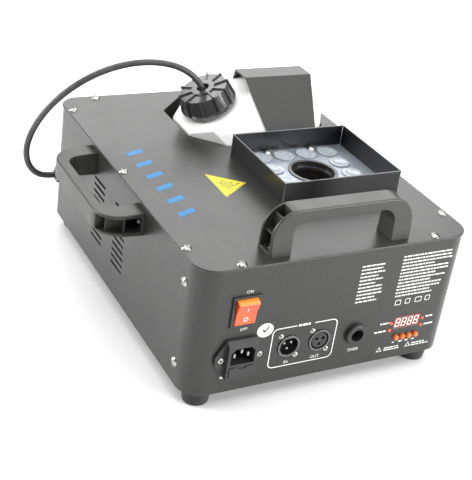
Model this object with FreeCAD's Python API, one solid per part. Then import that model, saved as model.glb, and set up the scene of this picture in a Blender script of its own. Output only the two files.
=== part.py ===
import FreeCAD, Part
import math
import os

# Vertical fog machine: a low sheet-metal case on rubber feet.  Fog leaves upward through a
# nozzle in a ring of lamps, and a jerry-can tank stands in a well behind them.
# Frame: origin on the floor under the middle of the case, +Z up, the control panel faces -Y
# and +X points right along the panel.  All sizes are in millimetres.

V = FreeCAD.Vector
X, Y, Z = V(1, 0, 0), V(0, 1, 0), V(0, 0, 1)

# ---------------------------------------------------------------- driving dimensions
# case
case_w = 294.0
case_d = 380.0
case_top = 153.0
foot_h = 18.0
sheet = 1.5
cover_t = 2.0
corner_r = 22.0
overhang = 1.0
flange_w = 13.0
seam_y = -155.0
seam_gap = 0.3
lap = 12.0
sheet_gap = 0.2
tray_lip = 15.0

# screws
m5_r = 2.5
m5_head_r = 5.0
m5_head_h = 3.0
m6_r = 3.0
m6_head_r = 6.0
m6_head_h = 3.6
m3_r = 1.5
m3_head_r = 3.0
m3_head_h = 1.8
rivet_head_h = 1.2
rivet_hole_r = 1.0
hole_gap = 0.2

# cover screws: inset from the case edge and places along it
cover_screw_inset = 5.5
cover_screw_side_ys = (-147.0, 5.0, 156.0)
cover_screw_front_xs = (-105.0, 105.0)
cover_screw_back_xs = (-105.0, 114.0)
side_screw_y = -161.5
side_screw_zs = (41.0, 128.0)

# vent slots
vent_cols = ((-24.5, 5.0), (33.5, 64.0))
vent_rows = 10
vent_pitch = 7.45
vent_z = 52.0
vent_h = 3.0

# feet
foot_x = 125.0
foot_y = 170.0
foot_top_r = 15.0
foot_base_r = 12.5

# tank well and its opening in the cover
well_x0, well_x1 = -41.0, 130.0
well_y0, well_y1 = 39.5, 172.0
well_chamfer = 33.0
well_wall = 1.0
well_floor = 32.0
well_lip = 3.5

# tank
tank_gap = 3.0
tank_back_gap = 24.0
tank_chamfer = 30.0
tank_wall = 1.8
tank_slope = 27.0
tank_side_lean = 16.5
neck_y = 100.0
neck_x = -3.5
neck_r = 22.8
neck_wall = 2.4
neck_len = 20.0
bead_r = 24.2
bead_h = 1.6

# cap
cap_r0 = 31.5
cap_r1 = 28.5
cap_h = 20.0
cap_lift = 4.8
cap_bore_r = 24.6
cap_top_t = 3.2
cap_ribs = 10
cap_rib_t = 1.8
cap_rib_h = 2.0
cap_rim_h = 2.6
cap_boss_r = 13.0
cap_boss_h = 1.8
cap_hole_r = 7.0
seal_t = 1.4
seal_gap = 0.1

# tank bracket
strap_t = 2.0
strap_top = 207.0
strap_y0, strap_y1 = 94.4, 119.6
strap_x0, strap_x1 = 32.5, 117.0
strap_front_run = 1.0
strap_back_run = 0.673
strap_taper = 0.257
strap_foot_len = 20.0
strap_screw_in = 6.5
strap_foot_y1 = 187.0
strap_gap = 0.6

# lamp head
lamp_x, lamp_y = 51.5, -40.0
shroud_w = 137.0
shroud_d = 114.0
shroud_h = 25.0
shroud_t = 1.2
shroud_flange = 12.0
corner_slit = 0.4
plate_t = 1.5
lamp_pitch_x = 27.0
lamp_pitch_y = 26.0
lens_r = 11.0
lens_h = 12.5
lens_gap = 0.3
board_t = 1.6
lamp_screw_dx = 27.0
lamp_screw_dy = 50.4
sleeve_r = 25.0
sleeve_wall = 2.0
sleeve_len = 27.0
sleeve_lip = 1.6
collar_r = 20.5

# handles
handle_len = 152.0
handle_h = 44.0
handle_foot_w = 25.0
handle_top_w = 20.0
handle_grip_t = 10.0
handle_arm_t = 21.0
handle_bend_r = 26.0
handle_gap_r = 14.0
handle_wall = 2.2
top_handle_y = -170.0
side_handle_y = 8.0
side_handle_z = 133.5

# control panel: all on the outer face at y = -case_d / 2
switch_x, switch_z = -97.7, 106.5
switch_w, switch_h = 28.0, 32.0
switch_rim_t = 2.0
switch_depth = 24.0
rocker_w = 20.6
rocker_r = 13.8
rocker_gap = 0.4
rocker_pivot_in = 1.5
rocker_tilt = 11.0
rocker_face_mid = 5.2
rocker_face_end = 7.0
rocker_back = 5.0
rocker_pin_r = 1.5
rocker_pin_len = 1.4
pin_gap = 0.05

inlet_x, inlet_z = -97.2, 57.5
inlet_flange_w = 51.0
inlet_flange_t = 3.0
inlet_screw_dx = 20.0
inlet_w, inlet_h = 30.0, 40.0
inlet_raise = 8.0
inlet_bevel = 5.0
inlet_depth = 26.0
socket_w, socket_h = 24.5, 17.5
socket_depth = 18.0
socket_dz = 4.6
blade_w, blade_h = 2.0, 4.0
blade_dx = 7.0
earth_rise, line_drop = 3.2, 0.8
drawer_w, drawer_h = 25.0, 11.0
drawer_depth = 23.0
drawer_dz = -12.6
drawer_gap = 0.3
drawer_proud = 0.8

xlr_in_x, xlr_out_x, xlr_z = -44.4, -10.4, 57.5
xlr_ring_r = 11.7
xlr_ring_wall = 2.0
xlr_depth = 24.0
xlr_cup_depth = 15.0
xlr_proud = 1.2
xlr_plate_w, xlr_plate_h = 26.0, 31.0
xlr_screw_dx, xlr_screw_dz = 9.5, 12.0
xlr_insert_r = 8.3

timer_x, timer_z = 30.5, 57.0
timer_bezel_r = 11.5
timer_bezel_h = 4.5
timer_body_r = 8.0
timer_hole_r = 6.8
timer_hole_depth = 10.5
timer_insert_r = 6.3
timer_insert_t = 4.0
timer_depth = 14.0

display_x, display_z = 91.0, 60.5
display_w, display_h = 32.0, 14.0
led_r = 1.5
led_dx = (-16.6 - 2.5, 16.6 + 2.5)
led_dz = (0.5, -8.0)
button_x, button_z = 81.5, 42.8
button_pitch = 7.9
button_names = ("menu", "up", "down", "enter")
button_r = 2.7
button_proud = 3.0
button_travel = 0.8
button_gap = 0.3
button_rim = 0.9
panel_board_in = 9.0

# heater, pump, tubes and boards inside
heater_w = 56.0
heater_h = 70.0
jacket_w = 84.0
jacket_t = 4.0
jacket_h = 88.0
jacket_z = 30.0
riser_r = 6.0
riser_bore = 2.5
riser_top = 138.0
inlet_stub_r = 4.0
tube_r = 3.0
pump_x, pump_y0, pump_z = -95.0, 62.0, 50.0
pump_w = 46.0
pump_len = 60.0
piston_r = 6.0
piston_len = 30.0
piston_stroke = 3.0
fan_size = 60.0
fan_t = 15.0
fan_y, fan_z = -10.0, 80.0
fan_hub_r = 13.0
fan_blade_r = 27.0
fan_bore_r = 28.5
fan_blades = 7
fan_shaft_r = 2.0
main_board = (-130.0, -30.0, -150.0, -50.0)
main_board_z = 30.0

# supply hose from the tank to the fitting on the left side
hose_r = 3.5
fitting_y, fitting_z = 161.0, 73.0
fitting_flange_r = 9.0
fitting_flange_t = 3.0
fitting_hex = 16.0
fitting_hex_t = 5.0
fitting_nose = 2.0
fitting_in = 13.0

# ---------------------------------------------------------------- derived levels and faces
half_w, half_d = case_w / 2, case_d / 2
floor_z = foot_h
under_cover = case_top - cover_t
panel_y = -half_d
panel_in = panel_y + sheet
left_x = -half_w
fitting_face = left_x - fitting_flange_t - fitting_hex_t - fitting_nose

nodes = {}


# ---------------------------------------------------------------- shape helpers
def block(x0, x1, y0, y1, z0, z1):
    return Part.makeBox(x1 - x0, y1 - y0, z1 - z0, V(x0, y0, z0))


def rod(r, start, direction, length):
    return Part.makeCylinder(r, length, start, direction)


def pipe_ring(r_out, r_in, start, direction, length):
    return rod(r_out, start, direction, length).cut(rod(r_in, start, direction, length))


def prism(points, travel):
    wire = Part.makePolygon(points + [points[0]])
    return Part.Face(wire).extrude(travel)


def join(shapes):
    return shapes[0].multiFuse(shapes[1:]).removeSplitter() if len(shapes) > 1 else shapes[0]


def group(shapes):
    return Part.makeCompound(shapes)


def cut_all(shape, tools):
    return shape.cut(Part.makeCompound(tools)) if tools else shape


def rounded_block(hx, hy, r, z0, z1):
    """Box centred on the origin in plan, with rounded vertical corners."""
    body = block(-hx, hx, -hy, hy, z0, z1)
    edges = [e for e in body.Edges if abs(e.tangentAt(e.FirstParameter).z) > 0.99]
    return body.makeFillet(r, edges)


def octagon_block(x0, x1, y0, y1, chamfer, z0, z1, round_r=0.0):
    c = chamfer
    plan = [(x0 + c, y0), (x1 - c, y0), (x1, y0 + c), (x1, y1 - c),
            (x1 - c, y1), (x0 + c, y1), (x0, y1 - c), (x0, y0 + c)]
    body = prism([V(px, py, z0) for px, py in plan], V(0, 0, z1 - z0))
    if round_r:
        edges = [e for e in body.Edges if abs(e.tangentAt(e.FirstParameter).z) > 0.99]
        body = body.makeFillet(round_r, edges)
    return body


def slot_x(y0, y1, z, height, x0, x1):
    """Horizontal slot with round ends, cut along X."""
    r = height / 2
    mid = block(x0, x1, y0 + r, y1 - r, z - r, z + r)
    ends = [rod(r, V(x0, y, z), X, x1 - x0) for y in (y0 + r, y1 - r)]
    return join([mid] + ends)


def pan_screw(seat, outward, head_r, head_h, shank_r, shank_len):
    """Cross-head screw: the head stands on seat and the shank goes the other way."""
    head = rod(head_r, seat, outward, head_h)
    ball_r = (head_r ** 2 + head_h ** 2) / (2 * head_h) * 1.04
    ball = Part.makeSphere(ball_r, seat + outward * (head_h - ball_r))
    head = head.common(ball)
    shank = rod(shank_r, seat - outward * shank_len, outward, shank_len)
    screw = join([head, shank])
    side = Z if abs(outward.z) < 0.5 else X
    other = outward.cross(side)
    arm, thick, deep = head_r * 0.62, head_r * 0.2, head_h * 0.55
    for along, across in ((side, other), (other, side)):
        corner = seat + outward * (head_h - deep) - along * arm - across * (thick / 2)
        bar = prism([corner, corner + along * 2 * arm, corner + along * 2 * arm + across * thick,
                     corner + across * thick], outward * (deep + head_h))
        screw = screw.cut(bar)
    return screw


def tube_path(points):
    """Straight runs joined by tangent arcs, each as large as its two runs allow."""
    edges, radii = [], []
    start = points[0]
    for before, corner, after in zip(points, points[1:], points[2:]):
        d_in = (corner - before).normalize()
        d_out = (after - corner).normalize()
        turn = d_in.getAngle(d_out)
        reach = 0.45 * min(corner.distanceToPoint(before), corner.distanceToPoint(after))
        radius = reach / math.tan(turn / 2)
        radii.append(radius)
        a, b = corner - d_in * reach, corner + d_out * reach
        inward = (d_out - d_in).normalize()
        middle = corner + inward * (radius / math.cos(turn / 2) - radius)
        edges.append(Part.LineSegment(start, a).toShape())
        edges.append(Part.Arc(a, middle, b).toShape())
        start = b
    edges.append(Part.LineSegment(start, points[-1]).toShape())
    return Part.Wire(edges), radii


def tube_along(points, r, name):
    path, radii = tube_path(points)
    start_dir = (points[1] - points[0]).normalize()
    section = Part.Wire(Part.makeCircle(r, points[0], start_dir))
    tube = path.makePipeShell([section], True, True)
    expected = math.pi * r * r * path.Length
    print(name, "length", round(path.Length, 1), "radii", [round(v, 1) for v in radii],
          "volume ratio", round(tube.Volume / expected, 4))
    return tube


# ---------------------------------------------------------------- enclosure
def cover_screw_places():
    side_x = half_w - cover_screw_inset
    end_y = half_d - cover_screw_inset
    places = [(sx * side_x, y) for sx in (-1, 1) for y in cover_screw_side_ys]
    places += [(x, -end_y) for x in cover_screw_front_xs]
    places += [(x, end_y) for x in cover_screw_back_xs]
    return places


def strap_half_width(z):
    return (strap_x1 - strap_x0) / 2 - strap_taper * (strap_top - z)


def bracket_screw_places():
    mid = (strap_x0 + strap_x1) / 2
    dx = strap_half_width(case_top) - 9.0
    front_y = strap_front_foot_y() - strap_foot_len + strap_screw_in
    back_y = strap_foot_y1 - strap_screw_in
    return [(mid + s * dx, y) for s in (-1, 1) for y in (front_y, back_y)]


def strap_front_foot_y():
    return strap_y0 - strap_front_run * (strap_top - case_top - strap_t)


def strap_back_foot_y():
    return strap_y1 + strap_back_run * (strap_top - case_top - strap_t)


def lamp_screw_places():
    return [(lamp_x + sx * lamp_screw_dx, lamp_y + sy * lamp_screw_dy) for sx in (-1, 1) for sy in (-1, 1)]


def top_handle_screw_places():
    dx = handle_len / 2 - handle_arm_t / 2
    return [(s * dx, top_handle_y) for s in (-1, 1)]


def side_handle_screw_ys():
    dy = handle_len / 2 - handle_arm_t / 2
    return [side_handle_y + s * dy for s in (-1, 1)]


def case_wall():
    """The full ring of side walls with its inward top flange."""
    outer = rounded_block(half_w, half_d, corner_r, floor_z, under_cover)
    inner = rounded_block(half_w - sheet, half_d - sheet, corner_r - sheet, floor_z - 1, under_cover - sheet)
    mouth = rounded_block(half_w - flange_w, half_d - flange_w, corner_r - flange_w + 2, floor_z, case_top)
    return outer.cut(inner).cut(mouth)


def wall_screw_holes():
    top_screws = cover_screw_places() + bracket_screw_places()
    holes = [rod(m5_r + hole_gap, V(px, py, under_cover - 8), Z, 20) for px, py in top_screws]
    holes += [rod(m5_r + hole_gap, V(-half_w - 5, side_screw_y, z), X, case_w + 10) for z in side_screw_zs]
    return holes


def vent_slots():
    rows = [vent_z + i * vent_pitch for i in range(vent_rows)]
    return [slot_x(y0, y1, z, vent_h, s * half_w - 4, s * half_w + 4)
            for s in (-1, 1) for y0, y1 in vent_cols for z in rows]


def make_body_shell():
    keep = block(-half_w - 1, half_w + 1, seam_y + seam_gap / 2, half_d + 1, floor_z - 1, case_top)
    shell = case_wall().common(keep)
    laps = []
    for s in (-1, 1):
        face = s * (half_w - sheet - sheet_gap)
        back = s * (half_w - sheet)
        inner = face - s * sheet
        x0, x1 = sorted((inner, face))
        laps.append(block(x0, x1, seam_y - lap, seam_y + 8, floor_z + tray_lip + 3, under_cover - sheet - 1))
        x0, x1 = sorted((inner, back))
        laps.append(block(x0, x1, seam_y + 1, seam_y + 8, floor_z + tray_lip + 3, under_cover - sheet - 1))
    shell = join([shell] + laps)
    cuts = wall_screw_holes() + vent_slots()
    cuts.append(rod(fitting_stem_r() + hole_gap, V(left_x - 3, fitting_y, fitting_z), X, 8))
    cuts += [rod(m6_r + hole_gap, V(left_x - 3, y, side_handle_z), X, 8) for y in side_handle_screw_ys()]
    return cut_all(shell, cuts)


def fitting_stem_r():
    return fitting_hex / 2 - 3.0


def front_cutouts():
    """Everything that passes through the control panel."""
    y0, reach = panel_y - 3, 8
    cuts = [
        block(switch_x - body_half(switch_w), switch_x + body_half(switch_w), y0, y0 + reach,
              switch_z - body_half(switch_h), switch_z + body_half(switch_h)),
        block(inlet_x - body_half(inlet_w), inlet_x + body_half(inlet_w), y0, y0 + reach,
              inlet_z - body_half(inlet_h), inlet_z + body_half(inlet_h)),
        rod(xlr_ring_r + 0.3, V(xlr_in_x, y0, xlr_z), Y, reach),
        rod(xlr_ring_r + 0.3, V(xlr_out_x, y0, xlr_z), Y, reach),
        rod(timer_body_r + hole_gap, V(timer_x, y0, timer_z), Y, reach),
        block(display_x - display_w / 2 - 0.2, display_x + display_w / 2 + 0.2, y0, y0 + reach,
              display_z - display_h / 2 - 0.2, display_z + display_h / 2 + 0.2),
    ]
    cuts += [rod(m3_r + hole_gap, V(px, y0, pz), Y, reach) for px, pz in panel_screw_places()]
    cuts += [rod(led_r + hole_gap, V(px, y0, pz), Y, reach) for px, pz in led_places()]
    cuts += [rod(button_r + button_gap, V(button_x + i * button_pitch, y0, button_z), Y, reach)
             for i in range(len(button_names))]
    return cuts


def body_half(overall):
    """Half size of the panel cut-out under a rim that is 2 mm wider each way."""
    return overall / 2 - 1.8


def panel_screw_places():
    places = [(inlet_x + s * inlet_screw_dx, inlet_z) for s in (-1, 1)]
    for cx in (xlr_in_x, xlr_out_x):
        places += [(cx - xlr_screw_dx, xlr_z + xlr_screw_dz), (cx + xlr_screw_dx, xlr_z - xlr_screw_dz)]
    return places


def led_places():
    return [(display_x + dx, display_z + dz) for dx in led_dx for dz in led_dz]


def make_front_panel():
    keep = block(-half_w - 1, half_w + 1, -half_d - 1, seam_y - seam_gap / 2, floor_z - 1, case_top)
    return cut_all(case_wall().common(keep), wall_screw_holes() + front_cutouts())


def make_base_tray():
    off = sheet + sheet_gap
    outer = rounded_block(half_w - off, half_d - off, corner_r - off, floor_z, floor_z + tray_lip)
    inner = rounded_block(half_w - off - sheet, half_d - off - sheet, corner_r - off - sheet,
                          floor_z + sheet, floor_z + tray_lip + 1)
    holes = [rod(m5_r + hole_gap, V(sx * foot_x, sy * foot_y, floor_z - 1), Z, 5)
             for sx in (-1, 1) for sy in (-1, 1)]
    return cut_all(outer.cut(inner), holes)


def make_top_cover():
    plate = rounded_block(half_w + overhang, half_d + overhang, corner_r + overhang, under_cover, case_top)
    rim = [e for e in plate.Edges if abs(e.CenterOfMass.z - case_top) < 0.01]
    plate = plate.makeFillet(0.9, rim)
    cuts = [octagon_block(well_x0, well_x1, well_y0, well_y1, well_chamfer, under_cover - 1, case_top + 1, 8.0)]
    edge = shroud_flange + 1
    cuts.append(block(lamp_x - shroud_w / 2 + edge, lamp_x + shroud_w / 2 - edge,
                      lamp_y - shroud_d / 2 + edge, lamp_y + shroud_d / 2 - edge, under_cover - 1, case_top + 1))
    cuts += lens_clearance()
    small = cover_screw_places() + bracket_screw_places() + lamp_screw_places()
    cuts += [rod(m5_r + hole_gap, V(px, py, under_cover - 1), Z, 6) for px, py in small]
    cuts += [rod(m6_r + hole_gap, V(px, py, under_cover - 1), Z, 6) for px, py in top_handle_screw_places()]
    return cut_all(plate, cuts)


def make_tank_well():
    g, w = 0.4, well_wall
    outer = octagon_block(well_x0 - g - w, well_x1 + g + w, well_y0 - g - w, well_y1 + g + w,
                          well_chamfer, well_floor, under_cover, 8.0 + w)
    inner = octagon_block(well_x0 - g, well_x1 + g, well_y0 - g, well_y1 + g,
                          well_chamfer, well_floor + w, under_cover + 1, 8.0)
    lip = octagon_block(well_x0 - well_lip, well_x1 + well_lip, well_y0 - well_lip, well_y1 + well_lip,
                        well_chamfer, under_cover - w, under_cover, 10.0)
    return join([outer, lip]).cut(inner)


# ---------------------------------------------------------------- tank, cap and bracket
def tilt_axis():
    a = math.radians(tank_slope)
    return V(-math.sin(a), 0, math.cos(a))


def slope_level(x):
    """Height of the tank's sloping left face."""
    return case_top + 0.4 + (x - well_x0) * math.tan(math.radians(tank_slope))


def neck_base():
    return V(neck_x, neck_y, slope_level(neck_x))


def tank_solid(inset):
    """Outer shape of the tank, or with inset the space inside it."""
    x0, x1 = well_x0 + tank_gap + inset, well_x1 - tank_gap + inset * -1
    y0, y1 = well_y0 + tank_gap + inset, well_y1 - tank_back_gap - inset
    z0 = well_floor + well_wall + inset
    top = strap_top - strap_t - strap_gap - inset
    body = octagon_block(x0, x1, y0, y1, tank_chamfer - inset * 0.6, z0, top)
    big = 400.0
    a = math.radians(tank_slope)
    drop = inset / math.cos(a)
    left = prism([V(x0 - big, 0, slope_level(x0 - big) - drop), V(x0 + big, 0, slope_level(x0 + big) - drop),
                  V(x0 + big, 0, big * 3), V(x0 - big, 0, big * 3)], V(0, big, 0))
    lean = strap_t * math.sqrt(1 + strap_front_run ** 2) + strap_gap + inset * 1.41
    near_y, far_y = strap_y0 - big * strap_front_run, strap_y0 + big * strap_front_run
    low_z, high_z = strap_top - lean - big, strap_top - lean + big
    front = prism([V(0, near_y, low_z), V(0, far_y, high_z), V(0, near_y, high_z)], V(big, 0, 0))
    front.translate(V(-big / 2, 0, 0))
    shift = strap_t * math.sqrt(1 + strap_back_run ** 2) + strap_gap + inset * 1.2
    back = prism([V(0, strap_y1 - shift + strap_back_run * big, strap_top - big),
                  V(0, strap_y1 - shift - strap_back_run * big, strap_top + big),
                  V(0, strap_y1 - shift + strap_back_run * big, strap_top + big)], V(big, 0, 0))
    back.translate(V(-big / 2, 0, 0))
    run = math.tan(math.radians(tank_side_lean))
    right = prism([V(x1, 0, case_top), V(x1 - run * big, 0, case_top + big), V(x1 + big, 0, case_top + big),
                   V(x1 + big, 0, case_top)], V(0, big, 0))
    return body.cut(left).cut(front).cut(back).cut(right)


def make_fluid_tank():
    n = tilt_axis()
    base = neck_base()
    outer = join([tank_solid(0.0), rod(neck_r, base - n * 1.0, n, neck_len + 1.0)]
                 + [rod(bead_r, base + n * (neck_len - 3.0 - i * 5.0), n, bead_h) for i in range(2)])
    hollow = join([tank_solid(tank_wall), rod(neck_r - neck_wall, base - n * 6.0, n, neck_len + 8.0)])
    return outer.cut(hollow)


def make_tank_cap():
    """Screw cap: a tapered cup with thin ribs from the boss on top down to the lower rim."""
    n = tilt_axis()
    base = neck_base() + n * cap_lift
    body = Part.makeCone(cap_r0 - cap_rib_h, cap_r1 - cap_rib_h, cap_h, base, n)
    body = body.fuse(rod(cap_boss_r, base + n * cap_h, n, cap_boss_h))
    body = body.fuse(rod(cap_r0, base, n, cap_rim_h))
    full = Part.makeCone(cap_r0, cap_r1, cap_h + cap_boss_h, base, n)
    u = n.cross(Y)
    for i in range(cap_ribs):
        a = 2 * math.pi * (i + 0.5) / cap_ribs
        radial = u * math.cos(a) + Y * math.sin(a)
        side = radial.cross(n) * (cap_rib_t / 2)
        near, far = base + radial * (cap_boss_r - 2), base + radial * (cap_r0 + 1)
        slab = prism([near + side, near - side, far - side, far + side], n * (cap_h + cap_boss_h))
        body = body.fuse(slab.common(full))
    body = body.cut(rod(cap_bore_r, base - n * 1.0, n, cap_h - cap_top_t + 1.0))
    return body.cut(rod(cap_hole_r, base, n, cap_h + cap_boss_h + 1)).removeSplitter()


def make_cap_seal():
    n = tilt_axis()
    low = neck_base() + n * (neck_len + seal_gap)
    return pipe_ring(neck_r, cap_hole_r + 2.0, low, n, seal_t)


def make_tank_bracket():
    z0 = case_top
    f, b = strap_front_foot_y(), strap_back_foot_y()
    outer = [(f - strap_foot_len, z0 + strap_t), (f, z0 + strap_t), (strap_y0, strap_top), (strap_y1, strap_top),
             (b, z0 + strap_t), (strap_foot_y1, z0 + strap_t)]
    kf = strap_t * (math.sqrt(1 + strap_front_run ** 2) - strap_front_run)
    kb = strap_t * (math.sqrt(1 + strap_back_run ** 2) - strap_back_run)
    inner = [(strap_foot_y1, z0), (b - kb, z0), (strap_y1 - kb, strap_top - strap_t),
             (strap_y0 + kf, strap_top - strap_t), (f + kf, z0), (f - strap_foot_len, z0)]
    width = strap_x1 - strap_x0
    band = prism([V(strap_x0, py, pz) for py, pz in outer + inner], V(width, 0, 0))
    mid = (strap_x0 + strap_x1) / 2
    low, high = strap_half_width(z0), width / 2
    taper = prism([V(mid - high, -half_d, strap_top), V(mid + high, -half_d, strap_top),
                   V(mid + low, -half_d, z0), V(mid - low, -half_d, z0)], V(0, case_d * 2, 0))
    band = band.common(taper)
    holes = [rod(m5_r + hole_gap, V(px, py, z0 - 1), Z, strap_t + 2) for px, py in bracket_screw_places()]
    return cut_all(band, holes)


def make_tank_pad():
    y0 = well_y1 - tank_back_gap
    return block(5, 85, y0 + 0.1, well_y1 + 0.3, well_floor + well_wall, 110)


def dip_line(distance):
    """A point on the neck's axis, above its foot when distance is positive."""
    return neck_base() + tilt_axis() * distance


def make_dip_tube():
    low = dip_line(-122.0)
    return pipe_ring(hose_r, hose_r - 1.2, low, tilt_axis(), 130.0)


def make_dip_filter():
    n = tilt_axis()
    low = dip_line(-133.0)
    return rod(7.0, low, n, 18.0).cut(rod(hose_r + 0.05, low + n * 11.0, n, 8.0))


# ---------------------------------------------------------------- lamp head
def lamp_places():
    cols = [lamp_x + (i - 1.5) * lamp_pitch_x for i in range(4)]
    rows = [lamp_y + (i - 1.5) * lamp_pitch_y for i in range(4)]
    return [(x, y) for i, x in enumerate(cols) for j, y in enumerate(rows) if i in (0, 3) or j in (0, 3)]


plate_z = case_top + shroud_t
plate_top = plate_z + plate_t
lens_base = plate_top + 1.4 - lens_h
lamp_board_top = lens_base


def lamp_box(inset, z0, z1):
    hw, hd = shroud_w / 2 - inset, shroud_d / 2 - inset
    return block(lamp_x - hw, lamp_x + hw, lamp_y - hd, lamp_y + hd, z0, z1)


def lens_clearance():
    """Round clearance for the lenses in the sheets that they pass through."""
    return [rod(lens_r + lens_gap, V(px, py, under_cover - 1), Z, 10) for px, py in lamp_places()]


def make_lamp_shroud():
    shell = lamp_box(0, case_top, case_top + shroud_h).cut(lamp_box(shroud_t, plate_z, case_top + shroud_h + 1))
    shell = shell.cut(lamp_box(shroud_flange, case_top - 1, case_top + shroud_h + 1))
    for sx in (-1, 1):
        for sy in (-1, 1):
            slit = block(-3, 3, -corner_slit / 2, corner_slit / 2, plate_z + 0.5, case_top + shroud_h + 1)
            slit.rotate(V(0, 0, 0), Z, 45 if sx == sy else -45)
            slit.translate(V(lamp_x + sx * shroud_w / 2, lamp_y + sy * shroud_d / 2, 0))
            shell = shell.cut(slit)
    holes = [rod(m5_r + hole_gap, V(px, py, case_top - 1), Z, 5) for px, py in lamp_screw_places()]
    return cut_all(shell, holes + lens_clearance())


def make_lens_plate():
    plate = lamp_box(shroud_t + 0.3, plate_z, plate_top)
    cuts = [rod(lens_r + lens_gap, V(px, py, plate_z - 1), Z, 5) for px, py in lamp_places()]
    cuts.append(rod(sleeve_r + hole_gap, V(lamp_x, lamp_y, plate_z - 1), Z, 5))
    cuts += [rod(m5_r + hole_gap, V(px, py, plate_z - 1), Z, 5) for px, py in lamp_screw_places()]
    return cut_all(plate, cuts)


def make_led_lenses():
    """Twelve collimator lenses, each with a raised holder rim around a dished face."""
    lenses = []
    for px, py in lamp_places():
        lens = rod(lens_r, V(px, py, lens_base), Z, lens_h)
        dish = Part.makeSphere(30.0, V(px, py, lens_base + lens_h + 30.0 - 1.1))
        dish = dish.common(rod(lens_r - 1.6, V(px, py, lens_base), Z, lens_h + 3))
        lens = lens.cut(dish)
        lens = lens.cut(rod(4.0, V(px, py, lens_base - 1), Z, 4.0))
        lenses.append(lens)
    return group(lenses)


def make_led_board():
    board = lamp_box(shroud_flange + 1.6, lamp_board_top - board_t, lamp_board_top)
    board = board.cut(rod(sleeve_r + 1.0, V(lamp_x, lamp_y, lamp_board_top - 5), Z, 8))
    chips = [rod(3.0, V(px, py, lamp_board_top - 0.1), Z, 1.9) for px, py in lamp_places()]
    return join([board] + chips)


def make_nozzle_sleeve():
    low = plate_top - sleeve_len
    base = V(lamp_x, lamp_y, low)
    tube = rod(sleeve_r, base, Z, sleeve_len)
    lip = rod(sleeve_r + sleeve_lip, V(lamp_x, lamp_y, plate_top), Z, 1.0)
    collar = rod(sleeve_r - 1, V(lamp_x, lamp_y, plate_top - 8.0), Z, 3.0)
    body = join([tube, lip]).cut(rod(sleeve_r - sleeve_wall, base - Z, Z, sleeve_len + 5))
    collar = collar.cut(rod(collar_r, V(lamp_x, lamp_y, low), Z, sleeve_len + 5))
    return join([body, collar])


# ---------------------------------------------------------------- handles
def handle_body():
    """Moulded bridge handle: X along its length, Z away from the face it stands on."""
    hl, h, r = handle_len / 2, handle_h, handle_bend_r
    k = math.sqrt(0.5)
    a0, a1, a2 = V(-hl, 0, h - r), V(-hl + r - r * k, 0, h - r + r * k), V(-hl + r, 0, h)
    b0, b1, b2 = V(hl - r, 0, h), V(hl - r + r * k, 0, h - r + r * k), V(hl, 0, h - r)
    outline = Part.Wire([Part.LineSegment(V(-hl, 0, 0), a0).toShape(), Part.Arc(a0, a1, a2).toShape(),
                         Part.LineSegment(a2, b0).toShape(), Part.Arc(b0, b1, b2).toShape(),
                         Part.LineSegment(b2, V(hl, 0, 0)).toShape(),
                         Part.LineSegment(V(hl, 0, 0), V(-hl, 0, 0)).toShape()])
    w = handle_foot_w
    body = Part.Face(outline).extrude(V(0, w, 0))
    body.translate(V(0, -w / 2, 0))
    gap_x, gap_h = hl - handle_arm_t, h - handle_grip_t
    gap = block(-gap_x, gap_x, -w, w, -20, gap_h)
    edges = [e for e in gap.Edges if abs(e.tangentAt(e.FirstParameter).y) > 0.99 and e.CenterOfMass.z > 0]
    body = body.cut(gap.makeFillet(handle_gap_r, edges))
    trim = (handle_foot_w - handle_top_w) / 2
    for s in (-1, 1):
        foot_y, top_y, out_y = s * w / 2, s * (w / 2 - trim), s * (w / 2 + 5)
        outline = [(foot_y, 0), (top_y, h), (top_y, h + 5), (out_y, h + 5), (out_y, 0)]
        side = prism([V(-hl - 1, y, z) for y, z in outline], V(handle_len + 2, 0, 0))
        body = body.cut(side)
    rims = [e for e in body.Edges if e.CenterOfMass.z > 2.0 and abs(abs(e.CenterOfMass.y) - w / 2) < trim + 0.2]
    body = body.makeFillet(1.6, [e for e in rims if on_outline(e, gap_x)])
    return handle_pockets(body)


def on_outline(edge, gap_x):
    """True for the long edges between the grip's outer skin and its sides."""
    c = edge.CenterOfMass
    if abs(edge.tangentAt(edge.FirstParameter).y) > 0.9:
        return False
    return c.z > handle_h - 0.5 or abs(c.x) > gap_x + handle_arm_t * 0.35


def handle_pockets(body):
    """Open the outer side of each arm, leaving thin walls, a floor and two ribs."""
    hl, h, w = handle_len / 2, handle_h, handle_wall
    half = handle_top_w / 2 - w
    for s in (-1, 1):
        x_in = s * (hl - handle_arm_t + w)
        x0, x1 = sorted((x_in, s * (hl + 5)))
        pocket = block(x0, x1, -half, half, 3.0, h + 5)
        shelf = sorted((x_in, s * (hl - 3.5)))
        pocket = pocket.cut(block(shelf[0], shelf[1], -half, half, h * 0.42, h * 0.42 + 1.5))
        blade = sorted((s * (hl - 11.0), s * (hl - 12.5)))
        pocket = pocket.cut(block(blade[0], blade[1], -half, half, h * 0.42, h - 8.5))
        body = body.cut(pocket)
        bolt_x = s * (hl - handle_arm_t / 2)
        body = body.cut(rod(m6_r + hole_gap, V(bolt_x, 0, -1), Z, 6))
        body = body.cut(rod(m6_head_r + 0.5, V(bolt_x, 0, 3.0), Z, m6_head_h + 0.4))
    return body


def make_top_handle():
    body = handle_body()
    body.translate(V(0, top_handle_y, case_top))
    return body


def make_side_handle():
    body = handle_body()
    body.rotate(V(0, 0, 0), Z, 90)
    body.rotate(V(0, 0, 0), Y, -90)
    body.translate(V(left_x, side_handle_y, side_handle_z))
    return body


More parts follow.
